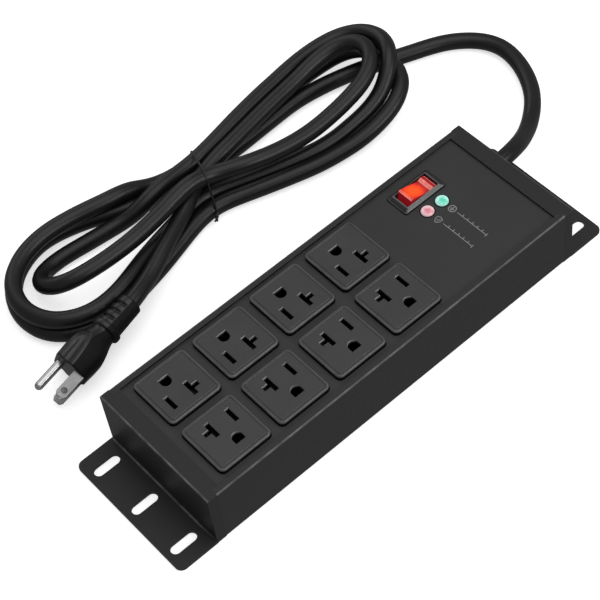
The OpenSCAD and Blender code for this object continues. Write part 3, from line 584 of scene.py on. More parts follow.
def make_tie():
    a, b = Vector((7, 115)), Vector((20, 150))
    along = (b - a).normalized()
    normal = Vector((along.y, -along.x))
    centres = [(16.8, 141.5, 4.9), (8.4, 118.8, 4.9), (20.7, 151.8, 4.9), (12.1, 128.9, 4.9), (18.8, 146.8, 13.3), (11.6, 127.5, 21.7), (14.6, 135.5, 13.2)]
    r = 0.62
    cloud = []
    for c in centres:
        s = (Vector(c[:2]) - a).dot(along)
        for k in range(40):
            t = 2 * math.pi * k / 40
            cloud.append((s + (CORD_R + r) * math.cos(t), max(c[2] + (CORD_R + r) * math.sin(t), r + 0.06)))
    cloud = sorted(set((round(x, 4), round(y, 4)) for x, y in cloud))

    def half(ps):
        h = []
        for p in ps:
            while len(h) > 1 and (h[-1][0] - h[-2][0]) * (p[1] - h[-2][1]) - (h[-1][1] - h[-2][1]) * (p[0] - h[-2][0]) <= 0:
                h.pop()
            h.append(p)
        return h

    lower, upper = half(cloud), half(cloud[::-1])
    hull = lower[:-1] + upper[:-1]
    # even spacing of points round the hull
    pts = []
    for p, q in zip(hull, hull[1:] + hull[:1]):
        d = math.dist(p, q)
        for k in range(max(1, int(d / 1.2))):
            t = k / max(1, int(d / 1.2))
            pts.append((p[0] + (q[0] - p[0]) * t, p[1] + (q[1] - p[1]) * t))

    def at(s, z, off):
        w = a + along * s + normal * off
        return (w.x, w.y, z)

    n = len(pts)
    parts = []
    for turn, off in ((0, 0.0),):
        ring = [at(p[0], max(p[1], r + 0.06), off + 0.12 * math.sin(2 * math.pi * i / n + turn)) for i, p in enumerate(pts)]
        parts.append(tube(ring, r, 12, closed=True))
    # the two ends twisted together, lying out from the side of the bundle
    lo = min(pts, key=lambda p: p[0])
    base_s, base_z = lo[0], lo[1] + 2.0
    for ph in (0, math.pi):
        tail = []
        for i in range(60):
            t = i / 59
            w = 1.0 if t > 0.08 else t / 0.08
            ang = ph + t * 2 * math.pi * 1.8
            s = base_s - 0.2 - 5.5 * t
            z = base_z + 3.0 * math.sin(t * 2.2) - 2.6 * t
            tail.append(at(s, z + 0.62 * math.cos(ang) * w, 0.62 * math.sin(ang) * w - 2.5 * t))
        parts.append(tube(tail, 0.58, 10))
    v, f = join(parts)
    return finish_mesh("cord_tie_wire", v, f, TIE, replaces=("cord_tie",), sharp=50, weighted=False)


tie = make_tie()


# ------------------------------------------------------------------ strain relief
def lathe_x(profile, cy, cz, n=72, x0=0.0):
    """Closed solid of revolution about the X direction through (cy, cz); profile is a loop of (x, r)."""
    verts, faces, m = [], [], len(profile)
    for x, r in profile:
        for k in range(n):
            a = 2 * math.pi * k / n
            verts.append((x0 + x, cy + r * math.cos(a), cz + r * math.sin(a)))
    for i in range(m):
        faces += bridge(i * n, ((i + 1) % m) * n, n)
    return verts, faces


def arc(cx, cr, rad, a0, a1, n=4):
    return [(cx + rad * math.cos(math.radians(a0 + (a1 - a0) * k / n)), cr + rad * math.sin(math.radians(a0 + (a1 - a0) * k / n))) for k in range(n + 1)]


def make_relief():
    bore = 5.02
    tip = 131.5
    end = 124.5
    p = [(110.5, bore), (110.5, 7.5)] + [(110.9, 7.9)]
    p += [(120.3, 7.9), (120.3, 10.1), (120.7, 10.5), (122.5, 10.5), (122.9, 10.1), (122.95, 7.9), (124.5, 7.9)]
    p += [(124.56, 9.2)] + arc(125.0, 9.15, 0.42, 160, 90, 3) + arc(125.95, 9.15, 0.42, 90, 0, 3) + [(126.37, 8.4)]
    # tapered sleeve with flex grooves
    x, grooves = 126.6, (128.3, 130.0)
    span = tip - x
    def rad(q):
        return 8.0 - (8.0 - 6.2) * (q - 126.6) / span
    for g in grooves:
        p += [(g - 0.75, rad(g - 0.75)), (g - 0.5, rad(g) - 0.16), (g - 0.38, rad(g) - 1.0), (g + 0.38, rad(g) - 1.0), (g + 0.5, rad(g) - 0.16), (g + 0.75, rad(g + 0.75))]
    p += [(tip - 0.8, rad(tip - 0.8)), (tip - 0.35, rad(tip) - 0.1), (tip - 0.08, rad(tip) - 0.42), (tip, rad(tip) - 0.8), (tip, bore + 0.12), (tip - 0.15, bore)]
    v, f = lathe_x(p, 20.0, 20.0)
    return finish_mesh("strain_relief_moulding", v, f, RELIEF, replaces=("strain_relief",), sharp=40)


relief = make_relief()


# ------------------------------------------------------------------ plug
PLUG_AT = Vector((-118.5, 83.5, 13.3))
PLUG_R = Euler((math.radians(-26), math.radians(4), math.radians(190)), "XYZ").to_matrix()


def to_plug(p):
    return tuple(PLUG_AT + PLUG_R @ Vector(p))


def smooth01(t):
    t = max(0.0, min(1.0, t))
    return t * t * (3 - 2 * t)


def parting(x):
    """Line (y at x mm behind the front) where the textured grip half meets the plain half."""
    back = -x
    t = smooth01((back - 16) / 14)
    return (0.2 - 2.0 * (min(back, 18.0) / 16.6) ** 2) * (1 - t) + 0.4 * t


def plug_half(back):
    """Half width, half height and shoulder share of the plug: slight swell to the middle, long rounded shoulder at the back."""
    swell = smooth01(back / 10)
    sh = smooth01((back - 11.5) / 16.5) ** 1.15
    ay, az = 10.3 + 0.35 * swell, 11.1 + 0.3 * swell
    return ay + (6.9 - ay) * sh, az + (6.9 - az) * sh, sh


def arch_y(back):
    """Edge of the hollow flute, as y for a half width of 10.5: along the parting line, then over towards -Y in an arch."""
    q = parting(-back) * 10.5 / plug_half(back)[0]
    if back <= 12.5:
        return q
    u = min(1.0, (back - 12.5) / 9.3)
    return q - (q + 8.4) * (1 - math.sqrt(max(0.0, 1 - u * u)))


ARCH = [(0.25 * i, arch_y(0.25 * i)) for i in range(50)] + [(12.5 + 9.3 * math.sin(math.pi / 2 * i / 60), arch_y(12.5 + 9.3 * math.sin(math.pi / 2 * i / 60))) for i in range(61)]


def split_angles(at, n):
    """n angles round a ring whose first and middle columns lie on the parting line below and above."""
    h = n // 2
    return [-at + 2 * at * k / h for k in range(h)] + [at + (2 * math.pi - 2 * at) * k / h for k in range(h)]


def plug_section(x, n=128):
    """Cross-section of the moulded plug at x mm behind its front face: fluted grip faces above and below, bevelled flank towards +Y."""
    back = -x
    ay, az, sh = plug_half(back)
    e = 6.0 - 4.0 * min(1.0, sh * 1.6)
    fade = 1 - sh
    line = parting(x)
    zt = az * (1 - abs(line / ay) ** e) ** (1 / e)
    pts = []
    for a in split_angles(math.atan2(zt, line), n):
        c, s = math.cos(a), math.sin(a)
        r = (abs(c / ay) ** e + abs(s / az) ** e) ** (-1 / e)
        y, z = r * c, r * s
        top = smooth01((abs(z) / az - 0.35) / 0.5)
        yn = y * 10.5 / ay
        d = min(math.hypot(back - b, yn - q) for b, q in ARCH)
        inside = back < 21.8 and -8.4 < yn < arch_y(back)
        # wide bevelled panel on the +Y half, a hollow flute inside the arch on the -Y half
        bev = 0.30 * max(0.0, y - line - 0.4) + 0.25 * max(0.0, -8.4 - yn)
        ridge = 0.5 * math.exp(-(d / 0.75) ** 2) + 0.22 * math.exp(-((yn + 8.3) / 1.4) ** 2) * smooth01((21.8 - back) / 4)
        fl = 2.1 * smooth01(d / 4.2) * smooth01((yn + 8.4) / 4.6) if inside else 0.0
        dz = (bev * fade - ridge * max(fade, 0.45) + fl * (0.35 + 0.65 * fade)) * top
        z -= math.copysign(dz, z)
        pts.append((y, z))
    return pts


def make_plug():
    n = 128
    rings = []
    def section(x, shrink=0.0):
        ps = plug_section(x, n)
        out = []
        for y, z in ps:
            l = math.hypot(y, z)
            k = (l - shrink) / l
            out.append((x, y * k, z * k))
        return out
    # front face with a rolled edge
    for x, sh in ((0.0, 1.3), (-0.02, 0.95), (-0.14, 0.55), (-0.42, 0.2), (-0.85, 0.02)):
        rings.append([(x, p[1], p[2]) for p in section(min(x, -0.01), sh)])
    steps = [-1.6, -2.6, -4, -5.5, -7, -8.5, -10, -11.5, -12.6] + [-13.4 - 0.62 * i for i in range(15)] + [-22.7, -23.3, -24, -24.7, -25.3, -25.8, -26.3, -26.7, -27.1]
    for x in steps:
        rings.append(section(x))

    def ring_angles(x, r):
        return split_angles(math.acos(parting(x) / r), n)

    def circ(x, r):
        return [(x, r * math.cos(a), r * math.sin(a)) for a in ring_angles(x, r)]

    prof = [(-27.4, 7.0), (-27.5, 7.5), (-27.62, 8.0), (-27.95, 8.4), (-28.5, 8.6), (-29.6, 8.62), (-30.6, 8.55), (-31.15, 8.3), (-31.42, 7.9), (-31.5, 7.45)]
    def neck(x):
        return 7.35 - (x + 31.5) / (-18.5) * 0.75
    prof += [(-31.9, neck(-31.9)), (-32.8, neck(-32.8))]
    for x, r in prof:
        rings.append(circ(x, r))

    def part(x, r, cut):
        """Ring of the neck whose groove dies away on the +Y side."""
        out = []
        for a in ring_angles(x, r):
            c = math.cos(a)
            q = r - cut * smooth01((0.12 - c) / 0.38)
            out.append((x, q * c, q * math.sin(a)))
        return out

    for g in (-34.7, -39.5, -44.6):
        for dx, cut in ((1.3, 0.0), (0.95, 0.14), (0.62, 1.0), (0.0, 1.35), (-0.62, 1.0), (-0.95, 0.14), (-1.3, 0.0)):
            rings.append(part(g + dx, neck(g + dx), cut))
    for x, r in [(-48.6, neck(-48.6)), (-49.4, neck(-49.4) - 0.1), (-49.8, neck(-49.8) - 0.4), (-50, neck(-50) - 0.8), (-50, 5.0), (-48, 4.93)]:
        rings.append(circ(x, r))
    verts = [to_plug(p) for ring in rings for p in ring]
    faces = []
    for i in range(len(rings) - 1):
        faces += bridge(i * n, (i + 1) * n, n)
    faces.append(tuple(range(n)))
    faces.append(tuple((len(rings) - 1) * n + k for k in range(n)))
    # matt-textured grip half, plainer half beyond the ridge in a darker colour that is painted shade; the ridge lines
    # on the top face get a painted highlight
    side, painted_highlight = [], []
    for i in range(len(rings) - 1):
        for k in range(n):
            c = [rings[i][k], rings[i][(k + 1) % n], rings[i + 1][k], rings[i + 1][(k + 1) % n]]
            x, y, z = (sum(q[j] for q in c) / 4 for j in range(3))
            d = min(math.hypot(-x - b, y * 10.5 / plug_half(-x)[0] - q) for b, q in ARCH)
            side.append(1 if k < n // 2 else 0)
            painted_highlight.append(0.5 * math.exp(-(d / 0.6) ** 2) if 4.5 < z and x < -0.3 else 0.0)
    side += [0, 0]
    painted_highlight += [0.0, 0.0]
    return finish_mesh("plug_moulding", verts, faces, PLUGM, replaces=("plug_body",), sharp=60, weighted=False, mats=[PLUGM, PLUG_PLAIN_SHADE], face_mats=side, painted_highlight=painted_highlight)


plug = make_plug()


def frame_to_world(v):
    return [to_plug(p) for p in v]


def make_blade(z, name, node):
    """Folded brass blade with a hole near its tip, its end chamfered to an easy lead-in."""
    y0, hy, ht = 5.7, 3.175, 0.76
    outline = [(-10, -hy), (14.0, -hy), (15.9, -2.0), (15.9, 2.0), (14.0, hy), (-10, hy)]
    hole = [(11.7 + 1.6 * math.cos(2 * math.pi * k / 28), 1.6 * math.sin(2 * math.pi * k / 28)) for k in range(28)]
    ch = 0.16
    inner = offset_poly(outline, -ch)
    outer_hole = [(11.7 + (1.6 + ch) * math.cos(2 * math.pi * k / 28), (1.6 + ch) * math.sin(2 * math.pi * k / 28)) for k in range(28)]
    verts, faces, painted_highlight = [], [], []
    def add(ps, zz):
        b = len(verts)
        verts.extend((p[0], y0 + p[1], z + zz) for p in ps)
        return b
    n, h = len(outline), 28
    for s in (1, -1):
        bi = add(inner, s * ht)
        bh = add(outer_hole, s * ht)
        tri = tessellate_polygon([[Vector((*p, 0)) for p in inner], [Vector((*p, 0)) for p in outer_hole]])
        for t in tri:
            faces.append(tuple(bi + i if i < n else bh + i - n for i in t))
            painted_highlight.append(0.0)
        bo = add(outline, s * (ht - ch))
        # painted highlight: the chamfer faces are marked to be lightened
        faces += bridge(bi, bo, n)
        painted_highlight += [1.0] * n
        hh = add(hole, s * (ht - ch))
        faces += bridge(bh, hh, h)
        painted_highlight += [1.0] * h
        if s == 1:
            top_o, top_h = bo, hh
        else:
            faces += bridge(top_o, bo, n) + bridge(top_h, hh, h)
            painted_highlight += [0.0] * (n + h)
    return finish_mesh(name, frame_to_world(verts), faces, NICKEL, replaces=(node,), painted_highlight=painted_highlight, sharp=40)


blade_a = make_blade(6.35, "plug_blade_line_metal", "plug_blade_line")
blade_b = make_blade(-6.35, "plug_blade_neutral_metal", "plug_blade_neutral")


def make_pin():
    n, rings = 40, []
    prof = [(-10, 2.2), (-9.8, 2.38), (16.7, 2.38)] + [(16.7 + 2.38 * math.sin(math.radians(a)), 2.38 * math.cos(math.radians(a))) for a in (15, 30, 45, 58, 70, 79)]
    for x, r in prof:
        rings.append([(x, -6.2 + r * math.cos(2 * math.pi * k / n), r * math.sin(2 * math.pi * k / n)) for k in range(n)])
    verts = frame_to_world([p for ring in rings for p in ring])
    faces = []
    for i in range(len(rings) - 1):
        faces += bridge(i * n, (i + 1) * n, n)
    faces += [tuple(range(n)), tuple((len(rings) - 1) * n + k for k in range(n))]
    return finish_mesh("plug_ground_pin_metal", verts, faces, PIN, replaces=("plug_ground_pin",), sharp=40)


pin = make_pin()


# ------------------------------------------------------------------ folded steel housing
def long_x(e):
    d = e.verts[1].co - e.verts[0].co
    return abs(d.x) > 0.15 and abs(abs(e.verts[0].co.y) - 0.0423) < 2e-4 and (e.verts[0].co.z > 0.039 or e.verts[0].co.z < 0.0005)


channel = refine("housing_channel", CHANNEL, width=0.32, segments=2, big=long_x, big_width=0.8, big_segments=4)
panel = refine("top_panel", PANEL, width=0.2, segments=2)


def bracket_fold(e):
    d = e.verts[1].co - e.verts[0].co
    x, z = abs(e.verts[0].co.x), e.verts[0].co.z
    return abs(d.y) > 0.05 and abs(x - 0.1245) < 2e-4 and (z > 0.039 or 0.0014 < z < 0.0016)


near = refine("end_bracket_near", BRACKET, width=0.34, segments=2, big=bracket_fold, big_width=0.9, big_segments=4)
far = refine("end_bracket_far", BRACKET, width=0.34, segments=2, big=bracket_fold, big_width=0.9, big_segments=4)


# ------------------------------------------------------------------ socket faces
FACE_TOP = 40.8


def make_outlet(i):
    c, left = i % 4, i < 4
    ox, oy, turn = -93.1 + 38.1 * c, 19.0 if left else -19.0, 1 if left else -1
    verts, faces, painted_highlight = [], [], []
    N = 7 * 4

    def ring(inset, z, r=None):
        b = len(verts)
        h = 16.25 - inset
        verts.extend((x, y, z) for x, y in rrect(h, h, max(3.0 - inset, 0.5) if r is None else r))
        return b

    top = FACE_TOP
    # the skirt is drawn in below the rolled edge, so that the cap stands on a dark shadow line; the skirt's faces also
    # take the near-black painted shade material
    prof = [(0.0, 29.5, 0), (0.0, 35.2, 0), (-1.45, 35.2, 0), (-1.45, 36.45, 0), (0.45, 36.45, 2), (0.45, 39.05, 2), (0.03, 39.5, 2), (0.0, top - 0.95, 0)]
    for k in range(1, 7):
        a = math.radians(15 * k)
        prof.append((0.75 * (1 - math.cos(a)), top - 0.95 + 0.95 * math.sin(a), 1))
    prof += [(1.42, top, 0), (1.56, top - 0.12, 1), (1.64, top - 0.33, 0), (1.96, top - 0.35, 0), (2.04, top - 0.14, 0), (2.18, top, 1)]
    bases = [ring(p[0], p[1], 4.2 if p[0] < 0 else None) for p in prof]
    skirt = []
    for j in range(len(bases) - 1):
        faces.extend(bridge(bases[j], bases[j + 1], N))
        # painted highlight on the rolled edge (flag 1); flag 2 gives the drawn-in skirt the painted shade material
        painted_highlight.extend([0.42 if prof[j + 1][2] == 1 else 0.0] * N)
        skirt.extend([1 if prof[j + 1][2] == 2 else 0] * N)
    # the three openings: narrow slot, T slot, round slot with a flat outward
    g = -2.2
    yb, ye = 13.3 - 19.0, 25.2 - 19.0
    narrow = [(g - 7.6, yb - 4.3), (g - 5.1, yb - 4.3), (g - 5.1, yb + 4.3), (g - 7.6, yb + 4.3)]
    x0 = g + 6.35
    tee = [(x0 - 1.3, yb - 4.7), (x0 + 1.3, yb - 4.7), (x0 + 1.3, yb - 1.3), (x0 + 4.9, yb - 1.3), (x0 + 4.9, yb + 1.3), (x0 + 1.3, yb + 1.3), (x0 + 1.3, yb + 4.7), (x0 - 1.3, yb + 4.7)]
    m = 26
    dee = [(g + 3.05 * math.cos(math.pi + math.pi * k / m), ye + 3.05 * math.sin(math.pi + math.pi * k / m)) for k in range(m + 1)] + [(g + 3.05, ye + 2.6), (g - 3.05, ye + 2.6)]
    holes = [narrow, tee, dee]
    ch = 0.24
    outer = [(verts[bases[-1] + k][0], verts[bases[-1] + k][1]) for k in range(N)]
    loops, index = [outer], list(range(bases[-1], bases[-1] + N))
    rims = []
    for hp in holes:
        wide = offset_poly(hp, ch)
        b = len(verts)
        verts.extend((x, y, top) for x, y in wide)
        loops.append(wide)
        index.extend(range(b, b + len(wide)))
        rims.append(b)
    for t in tessellate_polygon([[Vector((*p, 0)) for p in l] for l in loops]):
        faces.append(tuple(index[k] for k in t))
        painted_highlight.append(0.0)
    low = top - 2.6
    skirt += [0] * (len(faces) - len(skirt))
    floor_index, floor_loops = [], []
    for hp, b in zip(holes, rims):
        n = len(hp)
        b1 = len(verts)
        verts.extend((x, y, top - ch) for x, y in hp)
        bm_ = len(verts)
        verts.extend((x, y, top - 1.25) for x, y in hp)
        b2 = len(verts)
        verts.extend((x, y, low) for x, y in hp)
        faces.extend(bridge(b, b1, n) + bridge(b1, bm_, n) + bridge(bm_, b2, n))
        # painted light: every mouth chamfer gets a painted highlight, strongest, together with the wall below it, on
        # the wall that faces the front of the strip and the flank lamp; the deep band of each wall takes the near-black
        # painted shade
        lit_wall = [1.0 if turn * (hp[k][0] - hp[(k + 1) % n][0]) > 0.55 * math.dist(hp[k], hp[(k + 1) % n]) else 0.0 for k in range(n)]
        painted_highlight.extend([0.35 + 0.65 * q for q in lit_wall] + [0.9 * q for q in lit_wall] + [0.0] * n)
        skirt.extend([0] * (2 * n) + [1] * n)
        floor_loops.append(hp)
        floor_index.append(list(range(b2, b2 + n)))
    # inside of the cap
    bi = ring(1.6, low)
    inner = [(verts[bi + k][0], verts[bi + k][1]) for k in range(N)]
    idx = list(range(bi, bi + N)) + [k for l in floor_index for k in l]
    for t in tessellate_polygon([[Vector((*p, 0)) for p in l] for l in [inner] + floor_loops]):
        faces.append(tuple(idx[k] for k in t))
        painted_highlight.append(0.0)
    bb = ring(1.6, 29.5)
    faces.extend(bridge(bi, bb, N) + bridge(bb, bases[0], N))
    painted_highlight.extend([0.0] * 2 * N)
    out = [(ox + turn * x, oy + turn * y, z) for x, y, z in verts]
    name = "outlet_face_%d" % (i + 1)
    skirt += [0] * (len(faces) - len(skirt))
    return finish_mesh(name + "_cap", out, faces, SOCKET, replaces=(name,), painted_highlight=painted_highlight, sharp=32, mats=[SOCKET, PAINTED_SHADE], face_mats=skirt)


for i in range(8):
    make_outlet(i)


# ------------------------------------------------------------------ switch
SX, SY = 76.3, 25.4


def make_bezel():
    """Raised picture-frame bezel with sloping members, and the case below it."""
    verts, faces, painted_highlight = [], [], []
    n = 28

    def ring(hx, hy, r, z):
        b = len(verts)
        verts.extend((SX + x, SY + y, z) for x, y in rrect(hx, hy, r))
        return b

    prof = [(12.8, 6.1, 0.6, 18.0, 0), (12.8, 6.1, 0.6, 36.3, 0), (12.8, 6.1, 0.6, 38.02, 0), (14.3, 7.3, 1.2, 38.02, 0), (14.3, 7.3, 1.2, 38.45, 0), (14.22, 7.22, 1.15, 38.62, 1), (14.0, 7.05, 1.05, 38.78, 1),
            (12.0, 5.82, 0.75, 40.08, 0), (11.75, 5.66, 0.7, 40.24, 1), (11.45, 5.5, 0.62, 40.3, 1), (11.24, 5.4, 0.55, 40.28, 1), (11.08, 5.33, 0.5, 40.15, 1), (11.0, 5.3, 0.45, 39.9, 0), (11.0, 5.3, 0.45, 19.8, 0)]
    bases = [ring(a, b, r, z) for a, b, r, z, w in prof]
    for j in range(len(bases) - 1):
        faces.extend(bridge(bases[j], bases[j + 1], n))
        # painted highlight on the rounded edges of the sloping frame members
        painted_highlight.extend([0.8 * prof[j + 1][4]] * n)
    # floor of the case, pierced for the three terminals and the lamp's legs
    holes = [[(x - 0.45, -3.2), (x + 0.45, -3.2), (x + 0.45, 3.2), (x - 0.45, 3.2)] for x in (-7, 0, 7)]
    holes += [[(8.6 + 0.35 * math.cos(math.pi * k / 6), y + 0.35 * math.sin(math.pi * k / 6)) for k in range(12)] for y in (-3, 3)]
    for p in (holes[3], holes[4]):
        for k in range(12):
            p[k] = (p[k][0] - 2.6, p[k][1])
    lists = []
    for z, outer in ((19.8, bases[-1]), (18.0, bases[0])):
        loops = [[(verts[outer + k][0] - SX, verts[outer + k][1] - SY) for k in range(n)]] + holes
        idx = list(range(outer, outer + n))
        starts = []
        for hp in holes:
            b = len(verts)
            verts.extend((SX + x, SY + y, z) for x, y in hp)
            idx.extend(range(b, b + len(hp)))
            starts.append(b)
        for t in tessellate_polygon([[Vector((*p, 0)) for p in l] for l in loops]):
            faces.append(tuple(idx[k] for k in t))
            painted_highlight.append(0.0)
        lists.append(starts)
    for hp, a, b in zip(holes, lists[0], lists[1]):
        faces.extend(bridge(a, b, len(hp)))
        painted_highlight.extend([0.0] * len(hp))
    return finish_mesh("switch_bezel_case", verts, faces, SWITCH, replaces=("switch_body",), painted_highlight=painted_highlight, sharp=32)


make_bezel()


def rounded(poly, r, n=4):
    """Rounds each corner of an anticlockwise profile; r is one radius or one per corner."""
    out, m = [], len(poly)
    for i in range(m):
        a, b, c = Vector(poly[i - 1]), Vector(poly[i]), Vector(poly[(i + 1) % m])
        q = r[i] if hasattr(r, "__len__") else r
        if q <= 0:
            out.append(tuple(b))
            continue
        u, v = (a - b), (c - b)
        ang = u.angle(v)
        t = min(q / math.tan(ang / 2), 0.48 * u.length, 0.48 * v.length)
        p1, p2 = b + u.normalized() * t, b + v.normalized() * t
        for k in range(n + 1):
            s = k / n
            w = (1 - s) ** 2 * p1 + 2 * s * (1 - s) * b + s * s * p2
            out.append((w.x, w.y))
    return out


def make_rocker():
    """Moulded rocker key: long thumb slope, a crease and a raised grip ridge, all with soft edges; its stem and pins below."""
    tilt = math.radians(10)
    px, pz = SX, 34.3

    def world(x, y, z):
        return (px + x * math.cos(tilt) + z * math.sin(tilt), SY + y, pz - x * math.sin(tilt) + z * math.cos(tilt))

    key = [(-9.5, -1.2), (9.5, -1.2), (9.5, 6.1), (8.9, 6.85), (6.5, 6.75), (4.6, 5.35), (-8.3, 6.98), (-9.3, 6.6)]
    side = rounded(key, [0.3, 0.3, 0.5, 0.5, 0.7, 0.35, 0.5, 0.6], 4)
    m = len(side)
    cxs = sum(p[0] for p in side) / m
    czs = sum(p[1] for p in side) / m
    levels = [(0.55, -4.9), (0.2, -4.82), (0.04, -4.62), (0.0, -4.3), (0.0, -1.6), (0.0, 1.6), (0.0, 4.3), (0.04, 4.62), (0.2, 4.82), (0.55, 4.9)]
    verts, faces = [], []
    for shrink, y in levels:
        inner = offset_poly(side, -shrink * 0.62) if shrink else side
        verts.extend(world(p[0], y, p[1]) for p in inner)
    # painted highlight: the soft lips at corners 2, 3, 4, 6 and 7 of the profile, and at a lower share the slope after
    # corner 4, are marked to be painted pale pink
    lips = [0.75 if k % 5 < 4 and k // 5 in (2, 3, 4, 6, 7) else 0.6 if k == 24 else 0.0 for k in range(m)]
    painted_highlight = []
    for j in range(len(levels) - 1):
        faces += bridge(j * m, (j + 1) * m, m)
        painted_highlight += lips
    for base in (0, (len(levels) - 1) * m):
        loop = [Vector((verts[base + k][0], verts[base + k][2], 0)) for k in range(m)]
        for t in tessellate_polygon([loop]):
            faces.append(tuple(base + k for k in t))
    parts = [(verts, faces)]

    def turned(profile, axis, n=28):
        v, f = [], []
        for h, r in profile:
            for k in range(n):
                c, s = r * math.cos(2 * math.pi * k / n), r * math.sin(2 * math.pi * k / n)
                v.append(world(c, s, h) if axis == "z" else world(c, h, s))
        for j in range(len(profile) - 1):
            f += bridge(j * n, (j + 1) * n, n)
        f += [tuple(range(n)), tuple((len(profile) - 1) * n + k for k in range(n))]
        return v, f

    # hollow stem for the spring and plunger, and the two pivot pins
    n = 28
    v, f = [], []
    loop = [(-6.4, 2.6), (-1.1, 2.6), (-1.1, 1.7), (-6.4, 1.7)]
    for h, r in loop:
        for k in range(n):
            v.append(world(r * math.cos(2 * math.pi * k / n), r * math.sin(2 * math.pi * k / n), h))
    for j in range(4):
        f += bridge(j * n, ((j + 1) % 4) * n, n)
    parts.append((v, f))
    for s in (-1, 1):
        parts.append(turned([(s * 4.7, 1.2), (s * 5.75, 1.2), (s * 5.9, 1.05)], "y"))
    v, f = join(parts)
    painted_highlight += [0.0] * (len(f) - len(painted_highlight))
    return finish_mesh("switch_rocker_key", v, f, ROCKER, body="rocker", replaces=("switch_rocker",), sharp=38, painted_highlight=painted_highlight)


make_rocker()


# ------------------------------------------------------------------ indicator lenses
def make_lens(name, node, x, y, mat):
    n = 64
    prof = [(2.7, 35.3), (4.3, 35.3), (4.5, 35.45), (4.5, 36.3), (4.35, 36.44), (3.65, 36.44), (3.65, 38.25)]
    for k in range(1, 10):
        a = math.radians(10 * k)
        prof.append((3.65 * math.cos(a) ** 0.8, 38.25 + 1.72 * math.sin(a)))
    verts, faces = [], []
    for r, z in prof:
        for k in range(n):
            t = 2 * math.pi * k / n
            verts.append((x + r * math.cos(t), y + r * math.sin(t), z))
    for j in range(len(prof) - 1):
        faces += bridge(j * n, (j + 1) * n, n)
    tip = len(verts)
    verts.append((x, y, 39.98))
    last = (len(prof) - 1) * n
    faces += [(last + k, last + (k + 1) % n, tip) for k in range(n)]
    # blind bore over the emitter
    b = len(verts)
    for r, z in ((2.7, 36.3), (2.3, 36.75), (1.2, 36.98)):
        for k in range(n):
            t = 2 * math.pi * k / n
            verts.append((x + r * math.cos(t), y + r * math.sin(t), z))
    verts.append((x, y, 37.0))
    faces += bridge(0, b, n) + bridge(b, b + n, n) + bridge(b + n, b + 2 * n, n)
    faces += [(b + 2 * n + k, b + 2 * n + (k + 1) % n, b + 3 * n) for k in range(n)]
    return finish_mesh(name, verts, faces, mat, replaces=(node,), sharp=40)


make_lens("led_lens_green_dome", "led_lens_green", 81.7, 11.5, LENS_G)
make_lens("led_lens_red_dome", "led_lens_red", 71.6, 11.9, LENS_R)


def make_shade_rings():
    """Thin near-black rings on the panel round the bezel's foot and round each lens: painted shade standing in for the
    contact shadow there.
    """
    parts = []
    for pts in ([(SX + x, SY + y) for x, y in rrect(14.85, 7.85, 1.5)], [(81.7 + 4.25 * math.cos(math.pi * k / 28), 11.5 + 4.25 * math.sin(math.pi * k / 28)) for k in range(56)],
                [(71.6 + 4.25 * math.cos(math.pi * k / 28), 11.9 + 4.25 * math.sin(math.pi * k / 28)) for k in range(56)]):
        n = len(pts)
        cx, cy = sum(p[0] for p in pts) / n, sum(p[1] for p in pts) / n
        verts, faces = [], []
        for d, z in ((0.0, 38.0), (0.0, 38.1), (0.16, 38.2), (0.75, 38.2), (0.75, 38.0)):
            verts += [(x, y, z) for x, y in (offset_poly(pts, -d) if d else pts)]
        for j in range(5):
            faces += bridge(j * n, ((j + 1) % 5) * n, n)
        parts.append((verts, faces))
    v, f = join(parts)
    finish_mesh("panel_painted_shade_rings", v, f, PAINTED_SHADE, sharp=40)


make_shade_rings()


# ------------------------------------------------------------------ generic printed marks beside the lenses
def flat_mark(polys, z=38.0, t=0.03):
    """Thin raised ink patches from lists of (outer, holes...) loops."""
    parts = []
    for loops in polys:
        v, f = [], []
        idx = []
        for l in loops:
            b = len(v)
            v += [(x, y, z + t) for x, y in l]
            idx += list(range(b, b + len(l)))
        tri = tessellate_polygon([[Vector((*p, 0)) for p in l] for l in loops])
        f += [tuple(idx[k] for k in q) for q in tri]
        m = len(v)
        v += [(x, y, z - 0.01) for x, y, _ in v[:m]]
        f += [tuple(m + idx[k] for k in q)[::-1] for q in tri]
        b = 0
        for l in loops:
            f += [(b + k, b + (k + 1) % len(l), m + b + (k + 1) % len(l), m + b + k) for k in range(len(l))]
            b += len(l)
        parts.append((v, f))
    return join(parts)


def bar(cx, cy, hx, hy):
    return [[(cx - hx, cy - hy), (cx + hx, cy - hy), (cx + hx, cy + hy), (cx - hx, cy + hy)]]


def circle(cx, cy, r, n=40):
    return [(cx + r * math.cos(2 * math.pi * k / n), cy + r * math.sin(2 * math.pi * k / n)) for k in range(n)]


def stroke(a, b, w):
    a, b = Vector(a), Vector(b)
    d = (b - a).normalized() * 1
    s = Vector((-d.y, d.x)) * w / 2
    return [[tuple(a - s), tuple(b - s), tuple(b + s), tuple(a + s)]]


